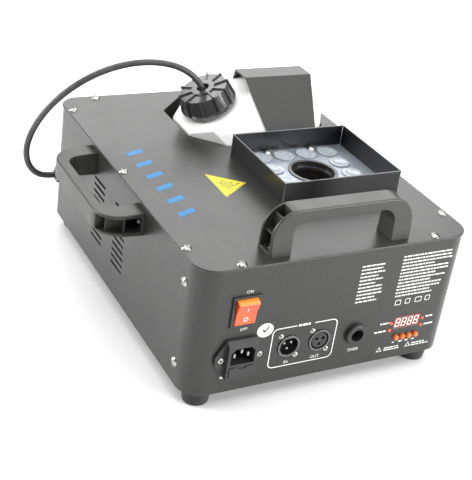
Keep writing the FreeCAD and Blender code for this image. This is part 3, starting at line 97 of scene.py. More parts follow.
class Shade:
    """A material being wired. Methods that make a value return its output socket."""

    SOCKETS = {"metallic": "Metallic", "rough": "Roughness", "ior": "IOR",
               "coat": "Coat Weight", "coat_rough": "Coat Roughness",
               "transmission": "Transmission Weight", "subsurface": "Subsurface Weight",
               "glow": "Emission Strength", "specular": "Specular IOR Level",
               "sheen": "Sheen Weight"}
    BEVEL_SAMPLES = 4

    def __init__(self, name):
        self.material = bpy.data.materials.new(name)
        self.material.use_nodes = True
        self.tree = self.material.node_tree
        self.bsdf = self.tree.nodes["Principled BSDF"]
        self.coords = self.tree.nodes.new("ShaderNodeTexCoord").outputs["Object"]

    def set(self, **values):
        for key, value in values.items():
            self.bsdf.inputs[self.SOCKETS[key]].default_value = value
        return self

    def node(self, kind, **settings):
        made = self.tree.nodes.new(kind)
        for key, value in settings.items():
            setattr(made, key, value)
        return made

    def link(self, out, socket):
        self.tree.links.new(out, socket)

    def stretch(self, scale):
        mapping = self.node("ShaderNodeMapping")
        self.link(self.coords, mapping.inputs["Vector"])
        mapping.inputs["Scale"].default_value = scale
        return mapping.outputs["Vector"]

    def noise(self, scale, detail=2.0, rough=0.5, vector=None):
        tex = self.node("ShaderNodeTexNoise")
        self.link(vector or self.coords, tex.inputs["Vector"])
        tex.inputs["Scale"].default_value = scale
        tex.inputs["Detail"].default_value = detail
        tex.inputs["Roughness"].default_value = rough
        return tex.outputs["Fac"]

    def cells(self, scale, feature="F1"):
        tex = self.node("ShaderNodeTexVoronoi", feature=feature)
        self.link(self.coords, tex.inputs["Vector"])
        tex.inputs["Scale"].default_value = scale
        return tex.outputs["Distance"]

    def ramp(self, fac, stops):
        """Tones, each a grey number or a colour, at places from 0 to 1."""
        ramp = self.node("ShaderNodeValToRGB")
        self.link(fac, ramp.inputs["Fac"])
        elements = ramp.color_ramp.elements
        while len(elements) < len(stops):
            elements.new(0.5)
        for element, (place, tone) in zip(elements, stops):
            element.position = place
            tone = (tone,) * 3 if isinstance(tone, (int, float)) else tone
            element.color = (*tone, 1)
        return ramp.outputs["Color"]

    def spread(self, fac, first, last, low=0.3, high=0.7):
        """From one tone to another across the middle of a noise's range."""
        return self.ramp(fac, [(low, first), (high, last)])

    def mix(self, fac, a, b):
        mix = self.node("ShaderNodeMix", data_type="RGBA")
        self.link(fac, mix.inputs[0])
        for value, socket in ((a, mix.inputs[6]), (b, mix.inputs[7])):
            if hasattr(value, "links"):
                self.link(value, socket)
            else:
                socket.default_value = (*value, 1)
        return mix.outputs[2]

    def times(self, a, b):
        made = self.node("ShaderNodeMath", operation="MULTIPLY")
        for value, socket in zip((a, b), made.inputs):
            if hasattr(value, "links"):
                self.link(value, socket)
            else:
                socket.default_value = value
        return made.outputs[0]

    def facing_up(self, low, high):
        """0 where the surface's normal rises less than low, 1 above high."""
        geometry = self.node("ShaderNodeNewGeometry")
        split = self.node("ShaderNodeSeparateXYZ")
        self.link(geometry.outputs["Normal"], split.inputs[0])
        return self.ramp(split.outputs["Z"], [(low, 0.0), (high, 1.0)])

    def bevelled_normal(self, radius):
        bevel = self.node("ShaderNodeBevel", samples=self.BEVEL_SAMPLES)
        bevel.inputs["Radius"].default_value = radius
        return bevel.outputs[0]

    def edges(self, radius):
        """1 along sharp edges within the radius, 0 on flat ground."""
        geometry = self.node("ShaderNodeNewGeometry")
        dot = self.node("ShaderNodeVectorMath", operation="DOT_PRODUCT")
        self.link(self.bevelled_normal(radius), dot.inputs[0])
        self.link(geometry.outputs["Normal"], dot.inputs[1])
        return self.ramp(dot.outputs["Value"], [(0.80, 1.0), (0.985, 0.0)])

    def bump(self, height, strength, distance, round_edges=0.0):
        bump = self.node("ShaderNodeBump")
        bump.inputs["Strength"].default_value = strength
        bump.inputs["Distance"].default_value = distance
        self.link(height, bump.inputs["Height"])
        if round_edges:
            self.link(self.bevelled_normal(round_edges), bump.inputs["Normal"])
        self.link(bump.outputs[0], self.bsdf.inputs["Normal"])

    def colour(self, source):
        self.link(source, self.bsdf.inputs["Base Color"])

    def roughness(self, source):
        self.link(source, self.bsdf.inputs["Roughness"])


# ---------------------------------------------------------------- materials
DUST_GREY = (0.30, 0.30, 0.29)
# Paler edge colour: partly bare steel where the paint wears, partly a painted highlight on the
# rims.
EDGE_WEAR_AND_HIGHLIGHT_GREY = (0.42, 0.43, 0.44)


def powder_coat(name, tone, rough, edge_wear_and_highlight=1.0):
    """Fine-textured powder coat: orange peel, faint dust on top faces, paler edges that are partly
    wear and partly a painted highlight.
    """
    s = Shade(name).set(specular=0.5)
    cloud = s.noise(9.0, detail=4.0, rough=0.6)
    base = s.spread(cloud, scaled(tone, 0.93), scaled(tone, 1.07), 0.35, 0.65)
    speck = s.spread(s.noise(700.0), 0.0, 1.0, 0.56, 0.72)
    base = s.mix(s.times(speck, 0.35), base, scaled(tone, 2.2, lift=0.02))
    dusty = s.spread(s.noise(38.0, detail=6.0, rough=0.7), 0.0, 0.07, 0.5, 0.9)
    base = s.mix(s.times(s.facing_up(0.85, 0.97), dusty), base, DUST_GREY)
    # Paler edges: partly rubbed paint, partly a painted highlight where the rims catch the light;
    # the shroud gets more of it.
    rubbed_and_highlight_mask = s.spread(s.noise(60.0, detail=3.0), 0.25 * edge_wear_and_highlight, 0.75 * edge_wear_and_highlight, 0.3, 0.75)
    base = s.mix(s.times(s.edges(0.0007), rubbed_and_highlight_mask), base, EDGE_WEAR_AND_HIGHLIGHT_GREY)
    s.colour(base)
    s.roughness(s.spread(s.noise(30.0, detail=5.0, rough=0.65), rough - 0.02, rough + 0.03))
    s.bump(s.noise(620.0, detail=3.0, rough=0.6), strength=0.55, distance=0.0002,
           round_edges=0.0008)
    return s.material


def moulded(name, tone, rough, grain=1400.0, grain_strength=0.25, coat=0.0, edge=0.0006):
    """Injection-moulded plastic with a fine spark-eroded grain and paler edges, partly wear and
    partly a painted highlight.
    """
    s = Shade(name).set(specular=0.5, coat=coat, coat_rough=0.12)
    base = s.spread(s.noise(22.0, detail=3.0), scaled(tone, 0.88), scaled(tone, 1.12), 0.35, 0.65)
    # Paler edges: partly rubbed plastic, partly a painted highlight along the rims.
    rub_and_highlight = s.times(s.edges(edge * 1.3), 0.22)
    s.colour(s.mix(rub_and_highlight, base, scaled(tone, 1.5, lift=0.1)))
    s.roughness(s.spread(s.noise(45.0, detail=4.0), rough - 0.04, rough + 0.06))
    s.bump(s.noise(grain), strength=grain_strength, distance=0.00012, round_edges=edge)
    return s.material


def bare_metal(name, tone, rough, scratch=(1, 1, 1), metallic=1.0, edge=0.0003):
    """Plated or blackened metal with fine scratches."""
    s = Shade(name).set(metallic=metallic)
    streaks = s.noise(420.0, detail=3.0, rough=0.6, vector=s.stretch(scratch))
    s.colour(s.spread(streaks, scaled(tone, 0.8), scaled(tone, 1.15)))
    s.roughness(s.spread(s.noise(160.0, detail=4.0), max(0.05, rough - 0.08), rough + 0.1))
    s.bump(streaks, strength=0.12, distance=0.0001, round_edges=edge)
    return s.material


def tank_plastic():
    """Blow-moulded white polyethylene: waxy, faintly mottled, a little translucent."""
    s = Shade("tank_white_hdpe").set(subsurface=0.25, ior=1.5, specular=0.45)
    s.bsdf.inputs["Subsurface Radius"].default_value = (0.006, 0.006, 0.005)
    cloud = s.noise(26.0, detail=5.0, rough=0.65)
    s.colour(s.spread(cloud, (0.73, 0.74, 0.72), (0.84, 0.84, 0.83)))
    s.roughness(s.spread(s.noise(70.0, detail=4.0), 0.34, 0.5))
    s.bump(s.noise(140.0, detail=4.0, rough=0.6), strength=0.12, distance=0.0006,
           round_edges=0.003)
    return s.material


def rubber(name, tone, rough):
    """Matt rubber with a coarse grain."""
    s = Shade(name).set(specular=0.35, sheen=0.08)
    s.colour(s.spread(s.noise(60.0, detail=4.0), scaled(tone, 0.8), scaled(tone, 1.3)))
    s.roughness(s.spread(s.noise(90.0, detail=3.0), rough - 0.06, rough + 0.06))
    s.bump(s.noise(700.0, detail=3.0), strength=0.3, distance=0.0002, round_edges=0.0006)
    return s.material


def rocker_plastic():
    """Glossy red-orange plastic, with a painted highlight: more orange where it faces up."""
    s = Shade("rocker_red").set(specular=0.5, coat=0.35, coat_rough=0.1)
    front = s.spread(s.noise(40.0, detail=3.0), (0.80, 0.070, 0.014), (0.90, 0.105, 0.022))
    # Painted highlight: faces turned upwards get a brighter orange, as if lit from above.
    s.colour(s.mix(s.facing_up(0.35, 0.75), front, (1.0, 0.24, 0.006)))
    s.roughness(s.spread(s.noise(60.0, detail=3.0), 0.24, 0.34))
    s.bump(s.noise(500.0), strength=0.06, distance=0.0001, round_edges=0.0006)
    return s.material


def hose_skin():
    """Extruded hose: satin and unevenly dusty."""
    s = Shade("hose_skin").set(specular=0.5)
    dust = s.noise(120.0, detail=5.0, rough=0.7)
    s.colour(s.spread(dust, (0.03, 0.03, 0.032), (0.075, 0.076, 0.078), high=0.75))
    s.roughness(s.spread(s.noise(60.0, detail=3.0), 0.36, 0.5))
    s.bump(s.noise(240.0), strength=0.2, distance=0.0003)
    return s.material


def board(name):
    """Solder mask over a maze of copper tracks."""
    s = Shade(name).set(specular=0.5, coat=0.3)
    track = s.ramp(s.cells(170.0, "DISTANCE_TO_EDGE"), [(0.05, 0.0), (0.10, 1.0)])
    s.colour(s.mix(track, (0.04, 0.20, 0.09), (0.015, 0.10, 0.05)))
    s.roughness(s.spread(s.noise(90.0, detail=3.0), 0.28, 0.42))
    s.bump(track, strength=0.3, distance=0.00005)
    return s.material


def lens_plate_metal():
    """Blue-grey enamelled plate with fine streaks."""
    s = Shade("lens_plate_enamel").set(metallic=0.55, specular=0.5)
    brush = s.noise(120.0, detail=5.0, rough=0.7, vector=s.stretch((1, 18, 1)))
    s.colour(s.spread(brush, (0.24, 0.275, 0.32), (0.36, 0.40, 0.45)))
    s.roughness(s.spread(s.noise(50.0, detail=4.0), 0.3, 0.42))
    s.bump(brush, strength=0.1, distance=0.0001, round_edges=0.0004)
    return s.material


def lens_plastic():
    """Clear moulded collimator with a lightly stippled face."""
    s = Shade("lens_clear").set(transmission=0.45, ior=1.49, specular=0.7)
    s.colour(s.spread(s.noise(220.0), (0.50, 0.56, 0.62), (0.74, 0.80, 0.86)))
    s.roughness(s.spread(s.noise(150.0), 0.08, 0.16))
    s.bump(s.cells(900.0), strength=0.2, distance=0.0002, round_edges=0.0004)
    return s.material


def window(name, tone, glow=0.0, glow_tone=None):
    """Smooth tinted plastic that may glow from behind."""
    s = Shade(name).set(coat=0.5, coat_rough=0.05, glow=glow)
    if glow_tone:
        s.bsdf.inputs["Emission Color"].default_value = (*glow_tone, 1)
    s.colour(s.spread(s.noise(200.0), scaled(tone, 0.85), tone))
    s.roughness(s.spread(s.noise(80.0), 0.12, 0.22))
    s.bump(s.noise(300.0, detail=1.0), strength=0.05, distance=0.0001)
    return s.material


def foam():
    """Open-celled dark foam."""
    s = Shade("foam").set(specular=0.1, sheen=0.2, rough=0.95)
    pores = s.cells(420.0)
    s.colour(s.spread(pores, (0.05, 0.05, 0.05), (0.16, 0.16, 0.16), 0.1, 0.6))
    s.bump(pores, strength=0.8, distance=0.001)
    return s.material


def silk_ink(name, tone, rough=0.55):
    """Screen-printed ink or a vinyl sticker: nearly even, slightly mottled."""
    s = Shade(name).set(specular=0.4)
    s.colour(s.spread(s.noise(350.0, detail=4.0), scaled(tone, 0.88), tone, high=0.65))
    s.roughness(s.spread(s.noise(60.0, detail=3.0), rough - 0.05, rough + 0.05))
    s.bump(s.noise(600.0), strength=0.1, distance=0.00005)
    return s.material


M = {
    "case": powder_coat("case_black_powder", (0.020, 0.0215, 0.0192), 0.33),
    "shroud": powder_coat("shroud_black_powder", (0.010, 0.010, 0.011), 0.30, edge_wear_and_highlight=1.8),
    "moulded": moulded("moulded_black", (0.022, 0.022, 0.023), 0.38),
    "handle": moulded("handle_black", (0.030, 0.030, 0.028), 0.36,
                      grain=1100.0, grain_strength=0.35, edge=0.001),
    "cap": moulded("cap_gloss_black", (0.045, 0.045, 0.047), 0.16,
                   grain=240.0, grain_strength=0.08, coat=0.9),
    "tank": tank_plastic(),
    "rocker": rocker_plastic(),
    "button": moulded("button_orange", (0.85, 0.17, 0.035), 0.34,
                      grain=700.0, grain_strength=0.1, edge=0.0005),
    "nickel": bare_metal("nickel_plate", (0.46, 0.45, 0.43), 0.26),
    "dark_nickel": bare_metal("dark_nickel", (0.17, 0.17, 0.175), 0.34),
    "black_steel": bare_metal("black_steel", (0.10, 0.10, 0.105), 0.24),
    "sleeve": bare_metal("sleeve_satin_black", (0.10, 0.10, 0.105), 0.30,
                         metallic=0.8, edge=0.0006),
    "galvanised": bare_metal("galvanised", (0.55, 0.56, 0.58), 0.4, scratch=(1, 6, 1)),
    "aluminium": bare_metal("cast_aluminium", (0.66, 0.66, 0.67), 0.5),
    "brass": bare_metal("turned_brass", (0.62, 0.45, 0.20), 0.28),
    "rubber": rubber("foot_rubber", (0.03, 0.03, 0.03), 0.78),
    "seal": rubber("seal_rubber", (0.07, 0.07, 0.07), 0.7),
    "hose": hose_skin(),
    "board": board("solder_mask"),
    "dark_parts": moulded("dark_parts", (0.05, 0.05, 0.055), 0.4),
    "plate": lens_plate_metal(),
    "lens": lens_plastic(),
    "tube": window("clear_tube", (0.62, 0.64, 0.66)),
    "display": window("display_window", (0.16, 0.022, 0.018)),
    "segment": window("pale_segment", (0.80, 0.66, 0.62), glow=0.25, glow_tone=(1.0, 0.55, 0.5)),
    "led": window("red_led", (0.75, 0.06, 0.03), glow=0.9, glow_tone=(1.0, 0.12, 0.05)),
    "foam": foam(),
    "white_ink": silk_ink("white_ink", (0.78, 0.78, 0.76)),
    "sticker_white": silk_ink("sticker_white", (0.86, 0.86, 0.84), 0.4),
    "sticker_yellow": silk_ink("sticker_yellow", (0.80, 0.70, 0.012), 0.45),
    "sticker_dark": silk_ink("sticker_dark", (0.03, 0.03, 0.03), 0.4),
    "stripe_blue": silk_ink("stripe_blue", (0.002, 0.155, 0.37), 0.45),
}

NODE_MATERIAL = {
    "case": ("base_tray", "body_shell", "front_panel", "top_cover", "tank_well", "tank_bracket"),
    "shroud": ("lamp_shroud",),
    "handle": ("top_handle", "side_handle"),
    "moulded": ("switch_frame", "power_inlet", "fuse_drawer", "xlr_out_insert",
                "timer_socket", "timer_insert"),
    "cap": ("tank_cap",),
    "tank": ("fluid_tank",),
    "rocker": ("switch_rocker",),
    "button": ("button_menu", "button_up", "button_down", "button_enter"),
    "nickel": ("panel_screws", "inlet_pins", "xlr_in_pins", "board_posts",
               "case_screws", "lamp_screws"),
    "dark_nickel": ("xlr_in_shell", "xlr_out_shell", "hose_fitting"),
    "black_steel": ("handle_screws",),
    "sleeve": ("nozzle_sleeve",),
    "galvanised": ("heater_jacket", "inner_supports", "pump_piston"),
    "aluminium": ("heater_block",),
    "brass": ("fog_nozzle",),
    "rubber": ("rubber_feet",),
    "seal": ("cap_seal",),
    "board": ("led_board", "main_board", "panel_board"),
    "dark_parts": ("board_parts", "button_switches", "fan_frame", "fan_rotor",
                   "pump_body", "thermostat", "dip_filter"),
    "plate": ("lens_plate",),
    "lens": ("led_lenses", "fuse_link"),
    "tube": ("feed_tube", "delivery_tube", "dip_tube"),
    "display": ("display",),
    "led": ("status_leds",),
    "foam": ("tank_pad",),
    "hose": ("supply_hose",),
}


def dress_nodes():
    """Every carried-over CAD node gets its material."""
    for key, names in NODE_MATERIAL.items():
        for name in names:
            slots = nodes[name].data.materials
            slots.clear()
            slots.append(M[key])
    undressed = sorted(set(nodes) - {name for names in NODE_MATERIAL.values() for name in names})
    assert not undressed, undressed


# ---------------------------------------------------------------- hose
# The route's points, as in part.py, in the case frame.
HOSE = [(-7.132, 100, 179.635), (-18.482, 100, 201.910), (-39, 104.5, 217.5), (-63, 111, 223),
        (-91, 117.5, 221.5), (-121, 125, 211.5), (-149, 132.5, 193.5), (-172, 140, 169.5),
        (-187, 147.5, 142), (-193, 154.5, 115), (-189.8, 159, 93.6), (-181.2, 160.6, 79.6),
        (-169, 161, 73), (-157, 161, 73)]
HOSE_DIAMETER = 0.007


def make_hose():
    curve = bpy.data.curves.new("tank_hose", "CURVE")
    curve.dimensions = "3D"
    spline = curve.splines.new("NURBS")
    spline.points.add(len(HOSE) - 1)
    for point, place in zip(spline.points, HOSE):
        point.co = (*at(*place), 1)
    spline.order_u = 3
    spline.use_endpoint_u = True
    curve.resolution_u = 16
    curve.bevel_depth = HOSE_DIAMETER / 2
    curve.bevel_resolution = 8
    curve.use_fill_caps = True
    hose = bpy.data.objects.new("tank_hose", curve)
    bpy.context.scene.collection.objects.link(hose)
    curve.materials.append(M["hose"])
    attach(hose, BODY)
    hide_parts("supply_hose")


# ---------------------------------------------------------------- flat prints and stickers
INK_THICK = 0.00008
OVERPRINT_THICK = 0.00013   # a mark on a sticker stands proud of it
FONT_SIZE_PER_HEIGHT = 1.38


class Print:
    """Thin shapes on one flat face. u runs right and v up in the face, in millimetres."""

    def __init__(self, place, u, v, thick=INK_THICK):
        self.bm = bmesh.new()
        self.place, self.u, self.v, self.n = place, u, v, u.cross(v)
        self.thick = thick

    def point(self, a, b, lift):
        return self.place + self.u * (a / 1000) + self.v * (b / 1000) + self.n * lift

    def ring(self, points, lift):
        return [self.bm.verts.new(self.point(a, b, lift)) for a, b in points]

    def shape(self, outline, hole=None):
        """A flat plate with the outline's points; with hole, the ring between the two."""
        top = self.ring(outline, self.thick)
        low = self.ring(outline, 0.0)
        following = [(i, (i + 1) % len(outline)) for i in range(len(outline))]
        for i, j in following:
            self.bm.faces.new((low[i], low[j], top[j], top[i]))
        if hole is None:
            self.bm.faces.new(top)
            return
        inner = self.ring(hole, self.thick)
        for i, j in following:
            self.bm.faces.new((top[i], top[j], inner[j], inner[i]))

    def stroke(self, points, width):
        """A line of even width along open points."""
        sides = []
        for i, (a, b) in enumerate(points):
            before, after = points[max(i - 1, 0)], points[min(i + 1, len(points) - 1)]
            du, dv = after[0] - before[0], after[1] - before[1]
            size = math.hypot(du, dv)
            nu, nv = -dv / size * width / 2, du / size * width / 2
            sides.append(((a + nu, b + nv), (a - nu, b - nv)))
        for (p, q), (r, t) in zip(sides, sides[1:]):
            self.shape([q, t, r, p])

    def bar(self, u0, u1, v0, v1):
        self.shape([(u0, v0), (u1, v0), (u1, v1), (u0, v1)])

    def disc(self, cu, cv, ru, rv, inner=None, steps=48):
        """An ellipse, or with inner the ring of that width along its edge."""
        turn = [2 * math.pi * i / steps for i in range(steps)]

        def ellipse(a, b):
            return [(cu + a * math.cos(t), cv + b * math.sin(t)) for t in turn]
        self.shape(ellipse(ru, rv), ellipse(ru - inner, rv - inner) if inner else None)

    def text(self, words, cu, cv, height):
        """Plain capitals centred on a point, from the built-in font."""
        data = bpy.data.curves.new("lettering", "FONT")
        data.body, data.align_x, data.align_y = words, "CENTER", "CENTER"
        data.size = height * FONT_SIZE_PER_HEIGHT
        data.resolution_u = 3
        holder = bpy.data.objects.new("lettering", data)
        flat = bpy.data.meshes.new_from_object(holder)
        start = len(self.bm.verts)
        self.bm.from_mesh(flat)
        self.bm.verts.ensure_lookup_table()
        for vert in self.bm.verts[start:]:
            vert.co = self.point(vert.co.x + cu, vert.co.y + cv, self.thick)
        bpy.data.objects.remove(holder)
        bpy.data.curves.remove(data)
        bpy.data.meshes.remove(flat)

    def done(self, name, key, slot, body=BODY):
        """The print as a piece, with its material and body. The slot argument is not used."""
        mesh = bpy.data.meshes.new(name)
        bmesh.ops.recalc_face_normals(self.bm, faces=self.bm.faces)
        self.bm.to_mesh(mesh)
        self.bm.free()
        mesh.materials.append(M[key])
        obj = bpy.data.objects.new(name, mesh)
        bpy.context.scene.collection.objects.link(obj)
        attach(obj, body)


def on_panel(thick=INK_THICK):
    return Print(Vector((PLAN.x, PANEL_Y, 0)), RIGHT, UP, thick)


def on_cover(thick=INK_THICK):
    return Print(Vector((PLAN.x, PLAN.y, COVER_Z)), RIGHT, BACK, thick)


def rounded_outline(u0, u1, v0, v1, r, steps=8):
    """A rounded box, anticlockwise from the lower right corner."""
    points = []
    for cu, cv, first in ((u1 - r, v0 + r, -90), (u1 - r, v1 - r, 0),
                          (u0 + r, v1 - r, 90), (u0 + r, v0 + r, 180)):
        for i in range(steps + 1):
            a = math.radians(first + 90 * i / steps)
            points.append((cu + r * math.cos(a), cv + r * math.sin(a)))
    return points


DRAW_FACTOR, DRAW_STEP, DRAW_RANGE = 1103515245, 12345, 2147483648


def draws(seed):
    """An endless, repeatable row of whole numbers."""
    state = seed
    while True:
        state = (state * DRAW_FACTOR + DRAW_STEP) % DRAW_RANGE
        yield state


DASH_GAP = 0.9
SHORTEST_DASH = 0.7


def small_lines(sheet, u0, u1, v_top, rows, pitch, height, seed):
    """Rows of short dashes, the pattern of small print without any letters."""
    draw = draws(seed)
    for row in range(rows):
        v = v_top - row * pitch
        u = u0
        end = u0 + (u1 - u0) * (0.62 + 0.38 * (next(draw) % 1000) / 1000)
        while u < end:
            word = 1.6 + 4.4 * (next(draw) % 997) / 997
            stop = min(u + word, end)
            if stop - u > SHORTEST_DASH:
                sheet.bar(u, stop, v, v + height)
            u = stop + DASH_GAP


# Words and where they stand on the panel: centre u, centre v, height.
PANEL_WORDS = (("ON", -95.5, 126.2, 3.2), ("OFF", -96.2, 86.2, 3.2), ("IN", -44.4, 38.8, 3.4),
               ("OUT", -12.5, 38.8, 3.4), ("TIMER", 31.5, 37.8, 3.4))
# Small print on the panel: left, right, top, rows, pitch, height, seed.
SIGNAL_LEGEND = (-36.8, -20.4, 77.8, 1, 3, 2.4, 71)
PANEL_LINES = (
    (-113.5, -77.5, 34.0, 1, 4, 2.6, 5),       # under the mains inlet
    (22.4, 51.0, 133.0, 11, 4.0, 1.5, 11),     # the two blocks of data
    (69.0, 130.0, 137.0, 13, 3.75, 1.5, 23),
    (70.5, 97.0, 30.5, 2, 2.6, 1.3, 31),       # beside the two triangles
    (104.0, 130.0, 30.5, 2, 2.6, 1.3, 37),
    (59.0, 70.5, 61.0, 1, 4, 1.7, 41),         # beside the four lamps
    (54.0, 70.5, 51.8, 1, 4, 1.7, 43),
    (114.0, 126.0, 61.0, 1, 4, 1.7, 47),
    (114.0, 126.0, 51.8, 1, 4, 1.7, 53),
)
SIGNAL_FRAME = (-63.7, 6.5, 35.0, 79.0)        # left, right, bottom, top
SIGNAL_GAP = (-38.5, -19.0)                    # where the frame's top is open for its legend
BUTTON_U, BUTTON_PITCH = 81.5, 7.9
SYMBOL_U, SYMBOL_PITCH, SYMBOL_WIDTHS = 71.0, 12.0, (7.0, 6.0, 8.0, 6.0)
TRIANGLES_U = (64.5, 99.5)
OVAL = (-72.8, 80.5)                           # centre of the oval sticker
TICK = [(-76.2, 81.0), (-74.9, 82.2), (-73.4, 80.3), (-69.6, 85.0), (-68.3, 83.9), (-73.3, 77.6)]


def make_panel_prints():
    ink = on_panel()
    top = SIGNAL_FRAME[3]
    corners = rounded_outline(*SIGNAL_FRAME, 5.5)
    half = len(corners) // 2
    ink.stroke([(SIGNAL_GAP[1], top)] + corners[half - 1::-1] + corners[:half - 1:-1]
               + [(SIGNAL_GAP[0], top)], 0.95)
    small_lines(ink, *SIGNAL_LEGEND)
    for words in PANEL_WORDS:
        ink.text(*words)
    for lines in PANEL_LINES:
        small_lines(ink, *lines)
    for i in range(4):
        u = BUTTON_U + BUTTON_PITCH * i
        small_lines(ink, u - 2.6, u + 2.8, 35.8, 1, 3, 1.5, 61 + i)
    for i, width in enumerate(SYMBOL_WIDTHS):
        u = SYMBOL_U + i * SYMBOL_PITCH
        ink.shape(rounded_outline(u, u + width, 82.0, 88.0, 1.2),
                  rounded_outline(u + 0.7, u + width - 0.7, 82.7, 87.3, 0.6))
    for u in TRIANGLES_U:
        ink.shape([(u - 3.4, 28.0), (u + 3.4, 28.0), (u, 33.6)],
                  [(u - 2.2, 28.7), (u + 2.2, 28.7), (u, 32.3)])
    ink.done("panel_prints", "white_ink", "case_black")
    label = on_panel()
    label.disc(*OVAL, 8.6, 7.6)
    label.done("oval_label", "sticker_white", "case_black")
    mark = on_panel(OVERPRINT_THICK)
    mark.disc(*OVAL, 7.6, 6.6, inner=0.35)
    mark.shape(TICK)
    mark.done("oval_label_mark", "sticker_dark", "case_black")


YELLOW_CORNERS = [(-62.5, -67.0), (-29.0, -43.5), (-62.5, -17.0)]
YELLOW_BARS = (9.5, 15.0, 12.0, 8.0)           # the bars left of the arrow, before they shrink
YELLOW_BAR_SHRINK = 1.3
YELLOW_BAR_PITCH = 2.6
YELLOW_MIDDLE_V = -42.5
STRIPE_LEFT, STRIPE_RIGHT = -123.5, -104.5
STRIPES, STRIPE_FIRST_V, STRIPE_PITCH = 6, -94.0, 26.0
STRIPE_RISE, STRIPE_WIDTH = 7.0, 8.0


def make_cover_prints():
    label = on_cover()
    label.shape(YELLOW_CORNERS)
    label.done("yellow_label", "sticker_yellow", "case_black")
    marks = on_cover(OVERPRINT_THICK)
    mid = [sum(corner[i] for corner in YELLOW_CORNERS) / 3 for i in (0, 1)]

    def inside(k):
        return [tuple(m + (c - m) * k for m, c in zip(mid, corner)) for corner in YELLOW_CORNERS]
    marks.shape(inside(0.93), inside(0.88))
    marks.shape([(-46.0, -47.5), (-35.0, -43.3), (-46.0, -38.0)],
                [(-44.6, -45.6), (-38.2, -43.1), (-44.6, -40.0)])
    for i, bar in enumerate(YELLOW_BARS):
        step, half = i * YELLOW_BAR_PITCH, bar / YELLOW_BAR_SHRINK
        marks.bar(-48.8 - step, -47.6 - step, YELLOW_MIDDLE_V - half, YELLOW_MIDDLE_V + half)
    marks.done("yellow_label_mark", "sticker_dark", "case_black")
    stripe = on_cover()
    for i in range(STRIPES):
        low = STRIPE_FIRST_V + STRIPE_PITCH * i
        stripe.shape([(STRIPE_LEFT, low), (STRIPE_RIGHT, low + STRIPE_RISE),
                      (STRIPE_RIGHT, low + STRIPE_RISE + STRIPE_WIDTH),
                      (STRIPE_LEFT, low + STRIPE_WIDTH)])
    stripe.done("blue_stripes", "stripe_blue", "case_black")


ROCKER_TILT = math.radians(11.0)
ROCKER_PIVOT_DEPTH = 0.0015                    # behind the panel's face
ROCKER_MIDDLE = (0, -0.0052, 0)                # the face's middle from the pivot, untilted
ROCKER_END_FRONT, ROCKER_END_HEIGHT = -0.0070, 0.0138


def make_rocker_marks():
    """A line and a ring on the two halves of the rocker's face, at its rest tilt."""
    lo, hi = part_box("switch_frame")
    pivot = Vector(((lo.x + hi.x) / 2, PANEL_Y + ROCKER_PIVOT_DEPTH, (lo.z + hi.z) / 2))
    turn = Matrix.Rotation(ROCKER_TILT, 3, "X")
    middle = turn @ Vector(ROCKER_MIDDLE)
    for name, sign in (("rocker_line", 1), ("rocker_ring", -1)):
        end = turn @ Vector((0, ROCKER_END_FRONT, sign * ROCKER_END_HEIGHT))
        sheet = Print(pivot + middle, RIGHT, (end - middle).normalized() * sign)
        if sign > 0:
            sheet.bar(-0.45, 0.45, 3.4, 7.2)
        else:
            sheet.disc(0, -6.4, 2.4, 2.4, inner=0.8)
        sheet.done(name, "white_ink", "rocker_red", "switch_rocker_body")


FIGURES, FIGURE_PITCH, FIGURE_LEAN = 4, 7.4, 0.12
FIGURE_W, FIGURE_H = 2.3, 4.4                  # half the width and half the height
SEGMENT_HALF, SEGMENT_GAP = 0.5, 0.4           # half a segment's width, its gap at a corner


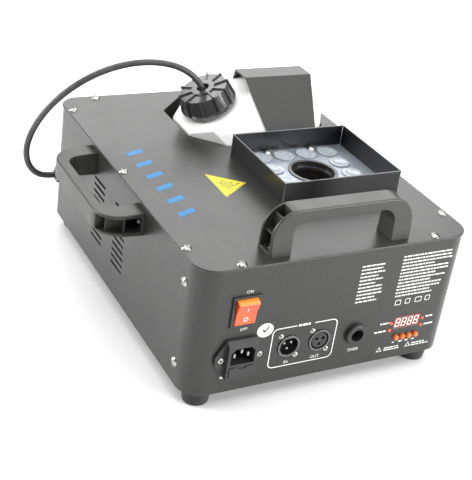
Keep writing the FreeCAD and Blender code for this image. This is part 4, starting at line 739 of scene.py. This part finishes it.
def make_digits():
    """Four seven-segment eights on the face of the display."""
    lo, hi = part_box("display")
    sheet = Print(Vector(((lo.x + hi.x) / 2, lo.y, (lo.z + hi.z) / 2)), RIGHT, UP)
    across = (-FIGURE_W, FIGURE_W)
    left = (-FIGURE_W - SEGMENT_HALF, -FIGURE_W + SEGMENT_HALF)
    right = (FIGURE_W - SEGMENT_HALF, FIGURE_W + SEGMENT_HALF)
    upper = (SEGMENT_GAP, FIGURE_H - SEGMENT_GAP)
    lower = (-FIGURE_H + SEGMENT_GAP, -SEGMENT_GAP)
    top, bottom, middle = ((v - SEGMENT_HALF, v + SEGMENT_HALF) for v in (FIGURE_H, -FIGURE_H, 0))
    segments = ((across, top), (right, upper), (right, lower), (across, bottom),
                (left, lower), (left, upper), (across, middle))
    for i in range(FIGURES):
        centre = (i - (FIGURES - 1) / 2) * FIGURE_PITCH
        for (u0, u1), (v0, v1) in segments:
            low, high = centre + FIGURE_LEAN * v0, centre + FIGURE_LEAN * v1
            sheet.shape([(low + u0, v0), (low + u1, v0), (high + u1, v1), (high + u0, v1)])
    sheet.done("display_figures", "segment", "display_red")


# ---------------------------------------------------------------- studio
FLOOR_HALF = 5
WORLD_STRENGTH = 0.3
MACHINE_MIDDLE = (0, 0, 0.08)
# Soft boxes: name, place, target, width, height or None for a square, power.
LIGHTS = (
    ("overhead", (0.2, 0.2, 2.6), (0.2, 0.2, 0), 4.5, None, 140),
    ("front_right", (1.35, -1.75, 0.75), MACHINE_MIDDLE, 1.3, 0.9, 58),
    ("left_back", (-1.9, 1.15, 0.85), MACHINE_MIDDLE, 1.3, 0.9, 50),
    ("back_sheen", (0.75, 1.55, 1.05), MACHINE_MIDDLE, 1.8, 1.2, 19),
)


def area_light(name, place, target, width, height, power):
    data = bpy.data.lights.new(name, "AREA")
    data.energy, data.size = power, width
    if height:
        data.shape, data.size_y = "RECTANGLE", height
    light = bpy.data.objects.new(name, data)
    bpy.context.scene.collection.objects.link(light)
    light.location = place
    light.rotation_mode = "QUATERNION"
    light.rotation_quaternion = (Vector(target) - Vector(place)).to_track_quat("-Z", "Y")


def make_studio():
    mesh = bpy.data.meshes.new("floor")
    corners = [(u * FLOOR_HALF, v * FLOOR_HALF, 0) for u, v in ((-1, -1), (1, -1), (1, 1), (-1, 1))]
    mesh.from_pydata(corners, [], [(0, 1, 2, 3)])
    floor = bpy.data.objects.new("floor", mesh)
    bpy.context.scene.collection.objects.link(floor)
    paint = Shade("floor_paint").set(rough=0.8, specular=0.2)
    paint.colour(paint.spread(paint.noise(3.0, detail=3.0), 0.86, 0.89))
    mesh.materials.append(paint.material)
    world = bpy.data.worlds.new("studio")
    world.use_nodes = True
    background = world.node_tree.nodes["Background"]
    background.inputs["Color"].default_value = (1, 1, 1, 1)
    background.inputs["Strength"].default_value = WORLD_STRENGTH
    bpy.context.scene.world = world
    bpy.context.scene.view_settings.view_transform = "Standard"
    for light in LIGHTS:
        area_light(*light)


make_camera()
make_hose()
dress_nodes()
make_panel_prints()
make_cover_prints()
make_rocker_marks()
make_digits()
make_studio()

bpy.context.view_layer.update()
